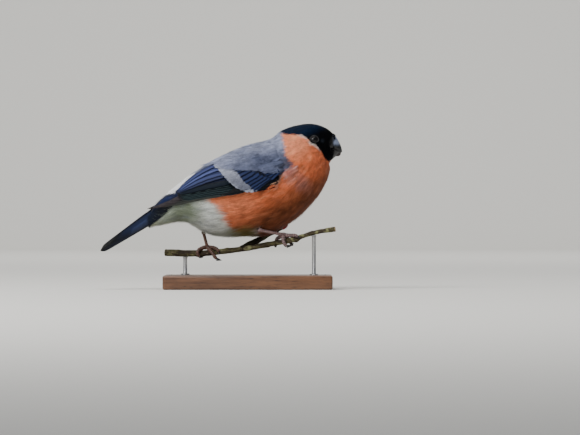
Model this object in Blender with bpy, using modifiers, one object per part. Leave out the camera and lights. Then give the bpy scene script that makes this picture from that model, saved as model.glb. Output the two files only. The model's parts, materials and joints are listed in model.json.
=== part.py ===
"""A cock bullfinch gripping a cut twig, as a still, life-size display model on a plain stand.

The bird looks along +X with its right side towards -Y, and the floor is z = 0 under the stand's
base. Sizes are in millimetres times MM. The body is one loft through stations from the tail
root to the bill, parted into torso, neck and head; wings and tail are a core with overlapping
feather vanes joined to it; feet are toes and claws wrapped about the twig.
"""

import math

import bmesh
import bpy
import numpy as np
from mathutils import Vector
from mathutils.bvhtree import BVHTree

MM = 0.001
GAP = 0.3 * MM

# Stations along the body: back (x, z), belly (x, z), half width and the roundness of the belly.
BODY_STATIONS_MM = (
    (-54.7, 46.5, -57.0, 35.1, 7.0, 2.2),
    (-50.2, 51.0, -50.2, 35.9, 9.0, 2.2),
    (-44.5, 55.9, -43.3, 37.6, 11.5, 2.2),
    (-38.8, 60.7, -34.8, 38.2, 14.0, 2.1),
    (-31.9, 65.8, -27.9, 33.8, 17.0, 1.9),
    (-24.5, 71.0, -18.8, 30.0, 19.5, 1.8),
    (-17.1, 75.2, -9.1, 29.4, 21.5, 1.8),
    (-9.1, 79.2, 0.6, 29.6, 22.8, 1.8),
    (-1.1, 82.4, 11.4, 29.9, 23.0, 1.8),
    (5.7, 84.2, 21.1, 35.3, 22.5, 1.9),
    (11.4, 85.6, 29.6, 41.3, 21.5, 2.1),
    (14.8, 87.5, 37.6, 49.6, 20.0, 2.2),
    (17.7, 90.1, 43.9, 58.1, 18.2, 2.2),
    (21.1, 92.1, 47.0, 66.2, 16.2, 2.2),
    (25.7, 93.5, 47.6, 70.0, 14.4, 2.0),
    (31.4, 94.5, 48.0, 72.4, 12.8, 1.8),
    (37.1, 94.3, 48.6, 74.2, 10.9, 1.5),
    (42.2, 93.0, 49.0, 76.0, 8.3, 1.3),
    (46.7, 90.5, 49.6, 77.3, 5.5, 1.3),
    (49.9, 86.9, 50.6, 79.4, 3.7, 1.5),
)
BACK_ROUNDNESS = 2.25
RINGS_PER_STATION = 2
RING_POINTS = 24

# Planes that part the body: a point (x, z) and the way forward (x, z) across each.
NECK_ROOT_PLANE = ((-4.6, 81.5), (0.43, 0.90))
HEAD_ROOT_PLANE = ((13.7, 86.1), (0.43, 0.90))
BILL_ROOT_PLANE = ((47.2, 73.0), (0.991, -0.133))

EYE_CENTRE_MM = (37.9, 85.3)
EYE_RADIUS = 3.0 * MM
EYE_CLEARANCE = 0.15 * MM
LID_RING_RADIUS = 2.4 * MM
LID_THICKNESS_RADIUS = 0.36 * MM
SOCKET_RADIUS = 3.25 * MM
MOUTH_CORNER_MM = (44.6, 79.3)
MOUTH_SLIT_HEIGHT = 0.5 * MM

# Bill sections from root to tip: ridge (x, z), cutting edge (x, z) and half width.
UPPER_BILL_MM = (
    (48.85, 86.3, 48.45, 80.6, 4.3),
    (50.9, 85.1, 49.9, 80.1, 3.9),
    (52.4, 83.0, 51.4, 79.4, 3.1),
    (53.3, 80.7, 52.6, 78.7, 1.9),
    (53.7, 78.6, 53.4, 77.9, 0.6),
)
LOWER_BILL_MM = (
    (48.3, 79.9, 47.55, 73.4, 4.1),
    (49.8, 79.4, 49.3, 74.7, 3.7),
    (51.1, 78.7, 50.7, 76.0, 2.8),
    (52.1, 78.0, 51.8, 77.1, 1.6),
    (52.6, 77.5, 52.5, 77.3, 0.6),
)
NOSTRIL_MM = (49.9, 84.6)
NOSTRIL_RADIUS = 0.45 * MM

# Wing outline landmarks in the side view (x, z).
WING_UPPER_EDGE_MM = ((19.0, 64.6), (8.0, 66.4), (-6.8, 67.4), (-14.8, 68.2), (-20.5, 68.4), (-26.0, 64.5))
WING_LOWER_EDGE_MM = ((17.5, 60.5), (9.7, 57.4), (-7.4, 54.6), (-16.0, 54.0), (-23.0, 54.0), (-28.0, 54.5))
WING_TIP_FLOOR = 8.6 * MM
LEFT_WING_REACH_MM = 2.6
CORE_LIFT = 1.2 * MM
CORE_THICKNESS = 0.5 * MM
VANE_TILT = 1.0 * MM
VANE_THICKNESS = 0.55 * MM
SHAFT_RIDGE = 0.25 * MM
VANE_ROWS = ((0.0, 0.8), (0.35, 1.0), (0.68, 0.97), (0.88, 0.72), (1.0, 0.2))
COVERT_ROWS = ((0.0, 0.7), (0.5, 1.0), (0.86, 0.8), (1.0, 0.25))

# Tail: the plane where it leaves the body, its slope, its feathers and their spread.
TAIL_ROOT_PLANE = ((-55.85, 40.8), (-0.98, 0.198))
TAIL_START_MM = (-53.2, 42.6)
TAIL_SLOPE = math.radians(33.6)
TAIL_LENGTH = 37.0 * MM
TAIL_ROOT_HALF_DEPTH = 3.9 * MM
TAIL_TIP_HALF_DEPTH = 1.55 * MM
TAIL_FEATHERS_PER_SIDE = 6
TAIL_FEATHER_HALF_WIDTH = 3.4 * MM
TAIL_FEATHER_STEP = 0.7 * MM
TAIL_MIDDLE_OVERLAP = 2.0 * MM
TAIL_LEFT_TUCK = 0.25 * MM
TAIL_NOTCH = 2.4 * MM

# The twig's centre line (x, z), from its cut end under the tail to its cut end under the head.
TWIG_MM = (
    (-47.5, 20.8), (-36.0, 20.3), (-23.9, 20.5), (-13.0, 21.6), (1.1, 23.5),
    (12.0, 25.6), (21.5, 27.2), (30.0, 29.8), (38.5, 32.4), (49.5, 34.2),
)
TWIG_RADII_MM = (2.0, 1.9, 1.7, 1.6, 1.55, 1.5, 1.45, 1.3, 1.3, 1.45)
TWIG_Y_AT_CENTRE_MM = -1.0
TWIG_SKEW = -0.255
SIDE_TWIG_MM = ((-3.0, -0.4, 23.3), (2.5, 3.4, 26.0), (8.0, 7.6, 29.0), (14.0, 9.4, 31.8), (19.0, 9.6, 34.2))
SIDE_TWIG_RADII_MM = (1.3, 1.25, 1.0, 0.8, 0.7)
BUD_CENTRE_MM = (20.8, 9.6, 35.5)
BUD_LENGTH = 4.0 * MM
BUD_RADIUS = 0.9 * MM

RIGHT_HEEL_MM = (6.6, -13.2, 33.6)
RIGHT_FOOT_MM = (20.6, -6.3, 31.0)
RIGHT_THIGH_TOP_MM = (-2.5, -12.5, 42.0)
LEFT_HEEL_MM = (-25.6, 9.6, 32.2)
LEFT_FOOT_MM = (-23.4, 5.0, 24.1)
LEFT_THIGH_TOP_MM = (-20.0, 9.8, 42.0)
THIGH_RADII_MM = (5.4, 5.4, 4.8, 3.4, 1.7)
TARSUS_RADIUS = 0.75 * MM
HEEL_RADIUS = 1.05 * MM
FOOT_RADIUS = 1.25 * MM
TOE_RADIUS = 0.78 * MM
CLAW_RADIUS = 0.42 * MM

# Toes about the twig: (steps along it in mm, degrees from its top, extra distance in mm).
RIGHT_TOES = {
    "front": ((2.0, 8, 0.6), (4.5, 22, 0.0), (7.0, 48, 0.0), (8.6, 78, 0.0), (9.6, 112, 0.2)),
    "near": ((0.6, 40, 0.3), (0.9, 75, 0.0), (1.2, 110, 0.0), (1.9, 145, 0.3), (4.2, 165, 0.4)),
    "far": ((1.2, -40, 0.2), (2.0, -75, 0.0), (2.6, -115, 0.0), (3.2, -150, 0.1), (4.6, -172, 0.3)),
    "back": ((-2.0, -14, 0.5), (-4.2, -40, 0.0), (-5.4, -80, 0.0), (-5.8, -120, 0.0), (-5.2, -155, 0.2)),
}
LEFT_TOES = {
    "front": ((1.4, 34, 0.1), (2.8, 68, 0.0), (4.2, 104, 0.5), (5.8, 138, 2.2), (8.6, 150, 3.6)),
    "near": ((1.6, 10, 0.1), (4.2, 26, 0.0), (6.4, 56, 0.0), (7.4, 88, 0.0), (7.6, 118, 0.3)),
    "far": ((1.2, -30, 0.1), (2.2, -70, 0.0), (2.8, -110, 0.0), (3.4, -145, 0.1), (4.8, -168, 0.3)),
    "back": ((-2.0, 22, 0.1), (-4.0, 52, 0.0), (-4.6, 88, 0.0), (-3.8, 124, 0.1), (-2.0, 150, 0.4)),
}

BASE_LENGTH = 96.0 * MM
BASE_WIDTH = 60.0 * MM
BASE_HEIGHT = 8.0 * MM
BASE_BEVEL = 1.2 * MM
ROD_RADIUS = 1.2 * MM
ROD_X_MM = {"back": -36.0, "front": 37.5}


def clear_scene():
    """Remove whatever the file opened with."""
    for leftover in list(bpy.data.objects):
        bpy.data.objects.remove(leftover, do_unlink=True)


def new_collection(name):
    """Make a collection in the scene."""
    collection = bpy.data.collections.new(name)
    bpy.context.scene.collection.children.link(collection)
    return collection


def material(name, colour, roughness, metallic=0.0):
    """Make a Principled material from one colour."""
    made = bpy.data.materials.new(name)
    made.use_nodes = True
    shader = made.node_tree.nodes["Principled BSDF"]
    shader.inputs["Base Color"].default_value = (*colour, 1.0)
    shader.inputs["Roughness"].default_value = roughness
    shader.inputs["Metallic"].default_value = metallic
    made.diffuse_color = (*colour, 1.0)
    return made


def smooth_rows(rows, per_span):
    """Rows on a Catmull-Rom curve through the given rows, which are kept."""
    rows = np.asarray(rows, dtype=float)
    ends = np.vstack([2 * rows[0] - rows[1], rows, 2 * rows[-1] - rows[-2]])
    curve = []
    for index in range(1, len(ends) - 2):
        before, start, end, after = ends[index - 1:index + 3]
        for step in range(per_span):
            t = step / per_span
            curve.append(0.5 * (2 * start + (end - before) * t
                                + (2 * before - 5 * start + 4 * end - after) * t ** 2
                                + (3 * start - before - 3 * end + after) * t ** 3))
    curve.append(rows[-1])
    return np.array(curve)


def along(rows, share):
    """The row at a share from 0 to 1 of the way through evenly counted rows."""
    rows = np.asarray(rows, dtype=float)
    place = min(max(share, 0.0), 1.0) * (len(rows) - 1)
    index = min(int(place), len(rows) - 2)
    return rows[index] + (rows[index + 1] - rows[index]) * (place - index)


def mesh_object(name, work, collection, finish=None):
    """Turn a bmesh into a named object with its faces pointing out."""
    bmesh.ops.recalc_face_normals(work, faces=work.faces)
    mesh = bpy.data.meshes.new(name)
    work.to_mesh(mesh)
    work.free()
    made = bpy.data.objects.new(name, mesh)
    collection.objects.link(made)
    if finish is not None:
        mesh.materials.append(finish)
    return made


def loft_bmesh(rings):
    """Skin closed rings of points into one closed form, each quad split the same way above and below."""
    work = bmesh.new()
    rows = [[work.verts.new(point) for point in ring] for ring in rings]
    count = len(rows[0])
    for row, following in zip(rows, rows[1:]):
        for corner in range(count):
            beside = (corner + 1) % count
            if corner < count // 2:
                work.faces.new((row[corner], row[beside], following[beside]))
                work.faces.new((row[corner], following[beside], following[corner]))
            else:
                work.faces.new((row[corner], row[beside], following[corner]))
                work.faces.new((row[beside], following[beside], following[corner]))
    caps = [work.faces.new(rows[0][::-1]), work.faces.new(rows[-1])]
    bmesh.ops.triangulate(work, faces=caps)
    bmesh.ops.recalc_face_normals(work, faces=work.faces)
    return work


def signed_power(value, power):
    """A power that keeps the sign of its base."""
    return math.copysign(abs(value) ** power, value)


def body_rings(grow=0.0):
    """Rings of the body's loft, all of them larger by grow."""
    rings = []
    for back_x, back_z, belly_x, belly_z, half_width, roundness in smooth_rows(BODY_STATIONS_MM, RINGS_PER_STATION):
        back = Vector((back_x, 0.0, back_z)) * MM
        belly = Vector((belly_x, 0.0, belly_z)) * MM
        centre = (back + belly) / 2
        rise = (back - belly) / 2
        rise *= 1.0 + grow / rise.length
        ring = []
        for step in range(RING_POINTS):
            angle = 2 * math.pi * step / RING_POINTS
            power = 2.0 / (BACK_ROUNDNESS if math.cos(angle) > 0 else roundness)
            across = signed_power(math.sin(angle), power) * (half_width * MM + grow)
            ring.append(centre + rise * signed_power(math.cos(angle), power) + Vector((0.0, across, 0.0)))
        rings.append(ring)
    return rings


def cut_by_plane(work, plane, offset, keep_forward):
    """Cut a bmesh by a plane across the side view, drop one side and close the cut."""
    (x, z), (forward_x, forward_z) = plane
    normal = Vector((forward_x, 0.0, forward_z)).normalized()
    point = Vector((x, 0.0, z)) * MM + normal * offset
    everything = work.verts[:] + work.edges[:] + work.faces[:]
    bmesh.ops.bisect_plane(work, geom=everything, plane_co=point, plane_no=normal, dist=1e-7,
                           clear_inner=keep_forward, clear_outer=not keep_forward)
    rim = [edge for edge in work.edges if edge.is_boundary]
    lid = bmesh.ops.contextual_create(work, geom=rim)["faces"]
    bmesh.ops.triangulate(work, faces=lid)


class Guide:
    """The body's side as a smooth surface that wing feathers lie on, off the body near their tips."""

    STEP = 1.0
    BLEND = 1.6 * MM

    def __init__(self, rings):
        work = loft_bmesh(rings)
        self.tree = BVHTree.FromBMesh(work)
        work.free()

    def half_width(self, x, z):
        """Distance from the middle plane at a place in the side view, both in millimetres."""
        start = Vector((x, 100.0, z)) * MM
        hit = self.tree.ray_cast(start, Vector((0.0, -1.0, 0.0)))[0]
        reach = hit.y if hit is not None else 0.0
        return (reach + WING_TIP_FLOOR + math.hypot(reach - WING_TIP_FLOOR, self.BLEND)) / 2

    def point(self, x, z, lift, side):
        """A point lifted off the surface on the right (-1) or left (+1) side."""
        step = self.STEP
        slope_x = (self.half_width(x + step, z) - self.half_width(x - step, z)) / (2 * step * MM)
        slope_z = (self.half_width(x, z + step) - self.half_width(x, z - step)) / (2 * step * MM)
        outward = Vector((-slope_x, 1.0, -slope_z)).normalized()
        place = Vector((x * MM, self.half_width(x, z), z * MM)) + outward * lift
        place.y *= side
        return place


def vane_rings(place, half_width, low_lift, high_lift, rows=VANE_ROWS):
    """Rings of one feather: place(share, across, lift) gives a point, across -1 is the upper edge."""
    rings = []
    for share, width_share in rows:
        reach = half_width * width_share
        half = VANE_THICKNESS / 2 * (1.0 - 0.35 * share)
        middle_lift = (low_lift + high_lift) / 2
        corners = ((-reach, high_lift, half), (0.0, middle_lift, half + SHAFT_RIDGE), (reach, low_lift, half),
                   (reach, low_lift, -half), (0.0, middle_lift, -half), (-reach, high_lift, -half))
        rings.append([place(share, across, lift + rise) for across, lift, rise in corners])
    return rings


def wing_vane(guide, side, root, tip, half_width, base_lift, bow, rows):
    """One wing feather between two places in the side view, its lower edge lifted off the next."""
    root = np.array(root, dtype=float)
    tip = np.array(tip, dtype=float)
    direction = (tip - root) / np.linalg.norm(tip - root)
    downward = np.array((-direction[1], direction[0]))
    if downward[1] > 0:
        downward = -downward

    def place(share, across, lift):
        spot = root + (tip - root) * share + downward * (across / MM - bow * 4 * share * (1 - share))
        return guide.point(spot[0], spot[1], lift, side)

    return vane_rings(place, half_width * MM, base_lift + VANE_TILT, base_lift, rows)


def fuse(core, pieces):
    """Join pieces to a core with one Boolean union and keep its largest closed surface."""
    operands = bpy.data.collections.new("operands of " + core.name)
    for piece in pieces:
        operands.objects.link(piece)
    union = core.modifiers.new("Fuse", "BOOLEAN")
    union.operation = "UNION"
    union.operand_type = "COLLECTION"
    union.collection = operands
    union.solver = "MANIFOLD"
    bpy.context.view_layer.update()
    evaluated = core.evaluated_get(bpy.context.evaluated_depsgraph_get())
    mesh = bpy.data.meshes.new_from_object(evaluated)
    core.modifiers.clear()
    core.data = mesh
    for piece in pieces:
        bpy.data.objects.remove(piece, do_unlink=True)
    bpy.data.collections.remove(operands)
    keep_largest_surface(mesh)


def keep_largest_surface(mesh):
    """Drop every loose surface of a mesh except the one with most faces, and triangulate it."""
    work = bmesh.new()
    work.from_mesh(mesh)
    unseen = set(work.faces)
    surfaces = []
    while unseen:
        surface = [unseen.pop()]
        for face in surface:
            for edge in face.edges:
                for neighbour in edge.link_faces:
                    if neighbour in unseen:
                        unseen.remove(neighbour)
                        surface.append(neighbour)
        surfaces.append(surface)
    surfaces.sort(key=len, reverse=True)
    for surface in surfaces[1:]:
        bmesh.ops.delete(work, geom=surface, context="FACES")
    bmesh.ops.triangulate(work, faces=work.faces)
    work.to_mesh(mesh)
    work.free()


def tube(name, points, radii, collection, sides=2):
    """A tapering tube through points as a mesh with welded caps."""
    curve = bpy.data.curves.new(name, "CURVE")
    curve.dimensions = "3D"
    curve.bevel_depth = 1.0
    curve.bevel_resolution = sides
    curve.use_fill_caps = True
    spline = curve.splines.new("POLY")
    spline.points.add(len(points) - 1)
    for knot, point, radius in zip(spline.points, points, radii):
        knot.co = (*point, 1.0)
        knot.radius = radius
    rail = bpy.data.objects.new(name, curve)
    collection.objects.link(rail)
    bpy.context.view_layer.update()
    mesh = bpy.data.meshes.new_from_object(rail.evaluated_get(bpy.context.evaluated_depsgraph_get()))
    bpy.data.objects.remove(rail, do_unlink=True)
    work = bmesh.new()
    work.from_mesh(mesh)
    bpy.data.meshes.remove(mesh)
    bmesh.ops.remove_doubles(work, verts=work.verts, dist=1e-6)
    bmesh.ops.triangulate(work, faces=work.faces)
    return mesh_object(name, work, collection)


def ball(name, centre, radii, collection, segments=16, rings=10):
    """A sphere stretched to three radii at a place."""
    work = bmesh.new()
    bmesh.ops.create_uvsphere(work, u_segments=segments, v_segments=rings, radius=1.0)
    bmesh.ops.scale(work, vec=Vector(radii), verts=work.verts)
    bmesh.ops.translate(work, vec=centre, verts=work.verts)
    bmesh.ops.triangulate(work, faces=work.faces)
    return mesh_object(name, work, collection)


def cut_with(target, cutter, name):
    """Cut one object by another with a Boolean that stays on the target."""
    cutter.hide_render = True
    cutter.display_type = "WIRE"
    difference = target.modifiers.new(name, "BOOLEAN")
    difference.operation = "DIFFERENCE"
    difference.object = cutter
    difference.solver = "EXACT"


def join_with(target, addition, name):
    """Join an object to another with a Boolean that stays on the target."""
    addition.hide_render = True
    addition.display_type = "WIRE"
    union = target.modifiers.new(name, "BOOLEAN")
    union.operation = "UNION"
    union.object = addition
    union.solver = "EXACT"


def build_body(model, finishes):
    """Part the body's loft into torso, neck and head, a small gap between them."""
    parted = {}
    limits = {"torso": (None, NECK_ROOT_PLANE), "neck": (NECK_ROOT_PLANE, HEAD_ROOT_PLANE),
              "head": (HEAD_ROOT_PLANE, BILL_ROOT_PLANE)}
    for name, (start, end) in limits.items():
        work = loft_bmesh(body_rings())
        if start is not None:
            cut_by_plane(work, start, GAP / 2, keep_forward=True)
        cut_by_plane(work, end, -GAP / 2, keep_forward=False)
        parted[name] = mesh_object(name, work, model, finishes[name])
    return parted


def build_eyes(head, guide, model, cutters, finishes):
    """Set an eyeball in a cut socket with a lid ring on each side of the head."""
    x, z = EYE_CENTRE_MM
    lid_height = math.sqrt((EYE_RADIUS + EYE_CLEARANCE + LID_THICKNESS_RADIUS) ** 2 - LID_RING_RADIUS ** 2)
    for name, side in (("r", -1), ("l", 1)):
        surface = guide.point(x, z, 0.0, side)
        outward = (guide.point(x, z, MM, side) - surface).normalized()
        centre = surface - outward * lid_height
        eye = ball("eye_" + name, centre, (EYE_RADIUS,) * 3, model, 18, 12)
        eye.data.materials.append(finishes["eye"])
        eye.data.shade_smooth()
        socket = ball("socket_" + name, centre, (SOCKET_RADIUS,) * 3, cutters, 16, 10)
        cut_with(head, socket, "Socket " + name)
        bpy.ops.mesh.primitive_torus_add(major_radius=LID_RING_RADIUS, minor_radius=LID_THICKNESS_RADIUS,
                                         major_segments=18, minor_segments=6,
                                         location=centre + outward * lid_height,
                                         rotation=outward.to_track_quat("Z", "Y").to_euler())
        lid = bpy.context.active_object
        lid.name = "lid_" + name
        for owner in lid.users_collection:
            owner.objects.unlink(lid)
        cutters.objects.link(lid)
        join_with(head, lid, "Lid " + name)


def build_mouth(head, cutters):
    """Cut the line of the mouth back into the face as far as its corner."""
    corner = Vector((MOUTH_CORNER_MM[0], 0.0, MOUTH_CORNER_MM[1])) * MM
    length = 8.0 * MM
    bpy.ops.mesh.primitive_cube_add(size=1.0, location=corner + Vector((length / 2, 0.0, 0.4 * MM)),
                                    rotation=(0.0, math.radians(-7.0), 0.0))
    slit = bpy.context.active_object
    slit.name = "mouth_slit"
    slit.scale = (length, 40.0 * MM, MOUTH_SLIT_HEIGHT)
    for owner in slit.users_collection:
        owner.objects.unlink(slit)
    cutters.objects.link(slit)
    cut_with(head, slit, "Mouth")


def bill_rings(sections, domed_up):
    """Rings of one half of the bill: a flat cutting face and a domed ridge."""
    rings = []
    dome = ((-1.0, 0.0), (-0.94, 0.35), (-0.7, 0.75), (0.0, 1.0), (0.7, 0.75), (0.94, 0.35), (1.0, 0.0), (0.0, 0.04))
    for ridge_x, ridge_z, edge_x, edge_z, half_width in smooth_rows(sections, 2):
        ridge = Vector((ridge_x, 0.0, ridge_z)) * MM
        edge = Vector((edge_x, 0.0, edge_z)) * MM
        if not domed_up:
            ridge, edge = edge, ridge
        rings.append([edge + (ridge - edge) * rise + Vector((0.0, across * half_width * MM, 0.0))
                      for across, rise in dome])
    return rings


def build_bill(model, cutters, finishes):
    """The upper and lower bill, a little parted, with the nostrils cut in the upper one."""
    upper = mesh_object("bill_upper", loft_bmesh(bill_rings(UPPER_BILL_MM, True)), model, finishes["bill"])
    mesh_object("bill_lower", loft_bmesh(bill_rings(LOWER_BILL_MM, False)), model, finishes["bill"])
    for name, side in (("r", -1), ("l", 1)):
        centre = Vector((NOSTRIL_MM[0], side * 2.35, NOSTRIL_MM[1])) * MM
        pit = ball("nostril_" + name, centre, (NOSTRIL_RADIUS * 1.4, NOSTRIL_RADIUS, NOSTRIL_RADIUS), cutters, 8, 6)
        cut_with(upper, pit, "Nostril " + name)


def wing_core_rings(guide, side):
    """Rings across the wing's core, from its bend to the last feather roots."""
    rings = []
    columns = 9
    rows = 5
    for column in range(columns):
        share = column / (columns - 1)
        top = along(WING_UPPER_EDGE_MM, share)
        bottom = along(WING_LOWER_EDGE_MM, share)
        spots = [top + (bottom - top) * row / (rows - 1) for row in range(rows)]
        edge = 0.35 if column in (0, columns - 1) else 1.0
        lifts = [CORE_LIFT + edge * (CORE_THICKNESS + 0.5 * MM * math.sin(math.pi * (row + 0.4) / rows))
                 for row in range(rows)]
        outer = [guide.point(*spot, lift, side) for spot, lift in zip(spots, lifts)]
        inner = [guide.point(*spot, CORE_LIFT - CORE_THICKNESS, side) for spot in spots]
        rings.append(outer + inner[::-1])
    return rings


def wing_feathers(guide, side, reach):
    """Rings of every feather of one wing, from the outermost quill to the small coverts."""
    feathers = []

    def add(root, tip, half_width, base_lift, bow=0.0, rows=COVERT_ROWS):
        feathers.append(wing_vane(guide, side, root, tip, half_width, base_lift * MM, bow, rows))

    primary_tips = ((-54.7 - reach, 46.6), (-53.4 - reach, 47.4), (-50.9, 48.8), (-47.9, 50.4), (-44.8, 51.8))
    for order, tip in enumerate(primary_tips):
        add((-10.0 - 1.2 * order, 54.8 + 0.7 * order), tip, 2.0, 0.8 + 0.05 * order, 1.3, VANE_ROWS)
    for order in range(5):
        add((-8.0 - 1.0 * order, 56.6 + 1.5 * order), (-38.5 - 0.7 * order, 51.6 + 1.3 * order), 2.5,
            1.15 + 0.05 * order, 1.0, VANE_ROWS)
    for order in range(3):
        add((-11.0 - 1.5 * order, 62.6 + 2.0 * order), (-41.0 + 4.6 * order, 57.0 + 4.0 * order), 3.3,
            1.5 + 0.1 * order, 1.6, VANE_ROWS)
    for order in range(3):
        add((8.0 - 1.5 * order, 57.8 + 0.8 * order), (-15.0 + 3.0 * order, 54.0 + 0.8 * order), 1.5, 1.6)
    covert_tips = ((0.9, 57.0), (-1.6, 57.4), (-4.6, 58.4), (-7.2, 60.0), (-9.7, 61.8),
                   (-12.0, 63.7), (-14.1, 65.6), (-16.1, 67.3), (-18.0, 68.8))
    for order, tip in enumerate(covert_tips):
        slope = math.radians(33.0 - 1.5 * order)
        length = 14.0 + 0.5 * order
        root = (tip[0] + length * math.cos(slope), min(tip[1] + length * math.sin(slope), 67.6))
        add(root, tip, 2.1, 2.0)
    for order in range(6):
        tip = (9.0 - 2.7 * order, 60.4 + 1.2 * order)
        add((tip[0] + 8.0, min(tip[1] + 4.0, 67.0)), tip, 1.8, 2.35)
    return feathers


def build_wings(guide, model, finishes):
    """Each wing's core with its tiers of feathers joined to it."""
    for name, side, reach in (("r", -1, 0.0), ("l", 1, LEFT_WING_REACH_MM)):
        core = mesh_object("wing_" + name, loft_bmesh(wing_core_rings(guide, side)), model, finishes["wing"])
        pieces = [mesh_object("wing feather", loft_bmesh(rings), model) for rings in wing_feathers(guide, side, reach)]
        fuse(core, pieces)


def tail_axes():
    """The tail's start, its backward direction and its upward direction."""
    start = Vector((TAIL_START_MM[0], 0.0, TAIL_START_MM[1])) * MM
    backward = Vector((-math.cos(TAIL_SLOPE), 0.0, -math.sin(TAIL_SLOPE)))
    upward = Vector((-math.sin(TAIL_SLOPE), 0.0, math.cos(TAIL_SLOPE)))
    return start, backward, upward


def tail_place(feather, side, length):
    """The placing function of one tail feather: 0 is the middle pair, on top of the roof."""
    start, backward, upward = tail_axes()
    stack = feather / (TAIL_FEATHERS_PER_SIDE - 1)

    def place(share, across, lift):
        half_depth = TAIL_ROOT_HALF_DEPTH + (TAIL_TIP_HALF_DEPTH - TAIL_ROOT_HALF_DEPTH) * share
        drop = 1.1 * half_depth
        spread = across + TAIL_FEATHER_HALF_WIDTH - TAIL_MIDDLE_OVERLAP
        roof = drop * abs(spread) / (2 * TAIL_FEATHER_HALF_WIDTH - TAIL_MIDDLE_OVERLAP)
        rise = half_depth - (2 * half_depth - drop) * stack - roof
        rise -= TAIL_LEFT_TUCK if side > 0 else 0.0
        spread += TAIL_FEATHER_STEP * feather * (0.7 + 0.6 * share)
        return start + backward * (length * share) + upward * (rise + lift) + Vector((0.0, side * spread, 0.0))

    return place


def build_tail(model, finishes):
    """The tail's core wedge with twelve feathers, its middle pair the shortest."""
    start, backward, upward = tail_axes()
    rings = []
    for reach, half_width, half_height in ((0.0, 6.6, 4.1), (6.0, 6.2, 3.4), (13.0, 5.0, 2.0)):
        ring = []
        for step in range(12):
            angle = 2 * math.pi * step / 12
            ring.append(start + (backward * reach + upward * math.cos(angle) * half_height) * MM
                        + Vector((0.0, math.sin(angle) * half_width * MM, 0.0)))
        rings.append(ring)
    core = mesh_object("tail", loft_bmesh(rings), model, finishes["tail"])
    pieces = []
    for feather in range(TAIL_FEATHERS_PER_SIDE):
        length = TAIL_LENGTH - TAIL_NOTCH * (1 - feather / (TAIL_FEATHERS_PER_SIDE - 1))
        for side in (-1, 1):
            rings = vane_rings(tail_place(feather, side, length), TAIL_FEATHER_HALF_WIDTH, 0.0, 0.0)
            pieces.append(mesh_object("tail feather", loft_bmesh(rings), model))
    fuse(core, pieces)
    work = bmesh.new()
    work.from_mesh(core.data)
    cut_by_plane(work, TAIL_ROOT_PLANE, GAP, keep_forward=True)
    work.to_mesh(core.data)
    work.free()


def twig_centre(x):
    """Centre and radius of the twig at a place along X, in millimetres."""
    rows = [(px, pz, radius) for (px, pz), radius in zip(TWIG_MM, TWIG_RADII_MM)]
    path = smooth_rows(rows, 4)
    z = float(np.interp(x, path[:, 0], path[:, 1]))
    radius = float(np.interp(x, path[:, 0], path[:, 2]))
    return Vector((x, TWIG_Y_AT_CENTRE_MM + TWIG_SKEW * x, z)), radius


def about_twig(x, degrees, distance):
    """A point at an angle from the twig's top, positive towards the bird's right side, in millimetres."""
    centre, radius = twig_centre(x)
    tangent = (twig_centre(x + 1.0)[0] - twig_centre(x - 1.0)[0]).normalized()
    across = Vector((0.0, 1.0, 0.0))
    across = (across - tangent * across.dot(tangent)).normalized()
    upward = tangent.cross(across)
    angle = math.radians(degrees)
    return centre + (upward * math.cos(angle) - across * math.sin(angle)) * (radius + distance)


def build_twig(model, finishes):
    """The cut twig with its side twig, and a bud at the side twig's end."""
    path = smooth_rows([(x, z) for x, z in TWIG_MM], 3)
    xs = path[:, 0]
    centres = [twig_centre(x)[0] * MM for x in xs]
    radii = [twig_centre(x)[1] * MM for x in xs]
    twig = tube("perch_twig", centres, radii, model)
    twig.data.materials.append(finishes["bark"])
    side_path = smooth_rows(SIDE_TWIG_MM, 2)
    side_radii = smooth_rows([(radius,) for radius in SIDE_TWIG_RADII_MM], 2)[:, 0]
    side_twig = tube("side twig", [Vector(point) * MM for point in side_path], side_radii * MM, model, 1)
    fuse(twig, [side_twig])
    bud = ball("perch_bud", Vector((0.0, 0.0, 0.0)), (BUD_LENGTH / 2, BUD_RADIUS, BUD_RADIUS), model, 12, 8)
    bud.rotation_euler = (0.0, math.radians(-38.0), 0.0)
    bud.location = Vector(BUD_CENTRE_MM) * MM
    bud.data.materials.append(finishes["bud"])


def toe_path(foot, foot_x, steps):
    """Points of one toe and of its claw, from the foot's joint round the twig."""
    toe = [Vector(foot)]
    for dx, degrees, extra in steps[:-1]:
        toe.append(about_twig(foot_x + dx, degrees, 0.3 + TOE_RADIUS / MM + extra))
    dx, degrees, extra = steps[-1]
    claw = [toe[-1]]
    half_way = [(last + end) / 2 for last, end in zip(steps[-2], steps[-1])]
    claw.append(about_twig(foot_x + half_way[0], half_way[1], 0.75 + half_way[2]))
    claw.append(about_twig(foot_x + dx, degrees, 0.45 + extra))
    return toe, claw


def build_foot(name, foot, toes, model, finishes):
    """Four toes with their claws joined at the ball of the foot."""
    centre = Vector(foot) * MM
    core = ball(name, centre, (FOOT_RADIUS, FOOT_RADIUS * 0.95, FOOT_RADIUS * 0.85), model, 12, 8)
    core.data.materials.append(finishes["leg"])
    pieces = []
    for steps in toes.values():
        toe, claw = toe_path(foot, foot[0], steps)
        smooth_toe = smooth_rows(toe, 2)
        swell = [TOE_RADIUS * (1.0 - 0.22 * index / (len(smooth_toe) - 1)) for index in range(len(smooth_toe))]
        pieces.append(tube("toe", [Vector(point) * MM for point in smooth_toe], swell, model, 1))
        smooth_claw = smooth_rows(claw, 3)
        taper = [CLAW_RADIUS * (1.25 - index / (len(smooth_claw) - 1)) for index in range(len(smooth_claw))]
        pieces.append(tube("claw", [Vector(point) * MM for point in smooth_claw], taper, model, 1))
    fuse(core, pieces)


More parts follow.
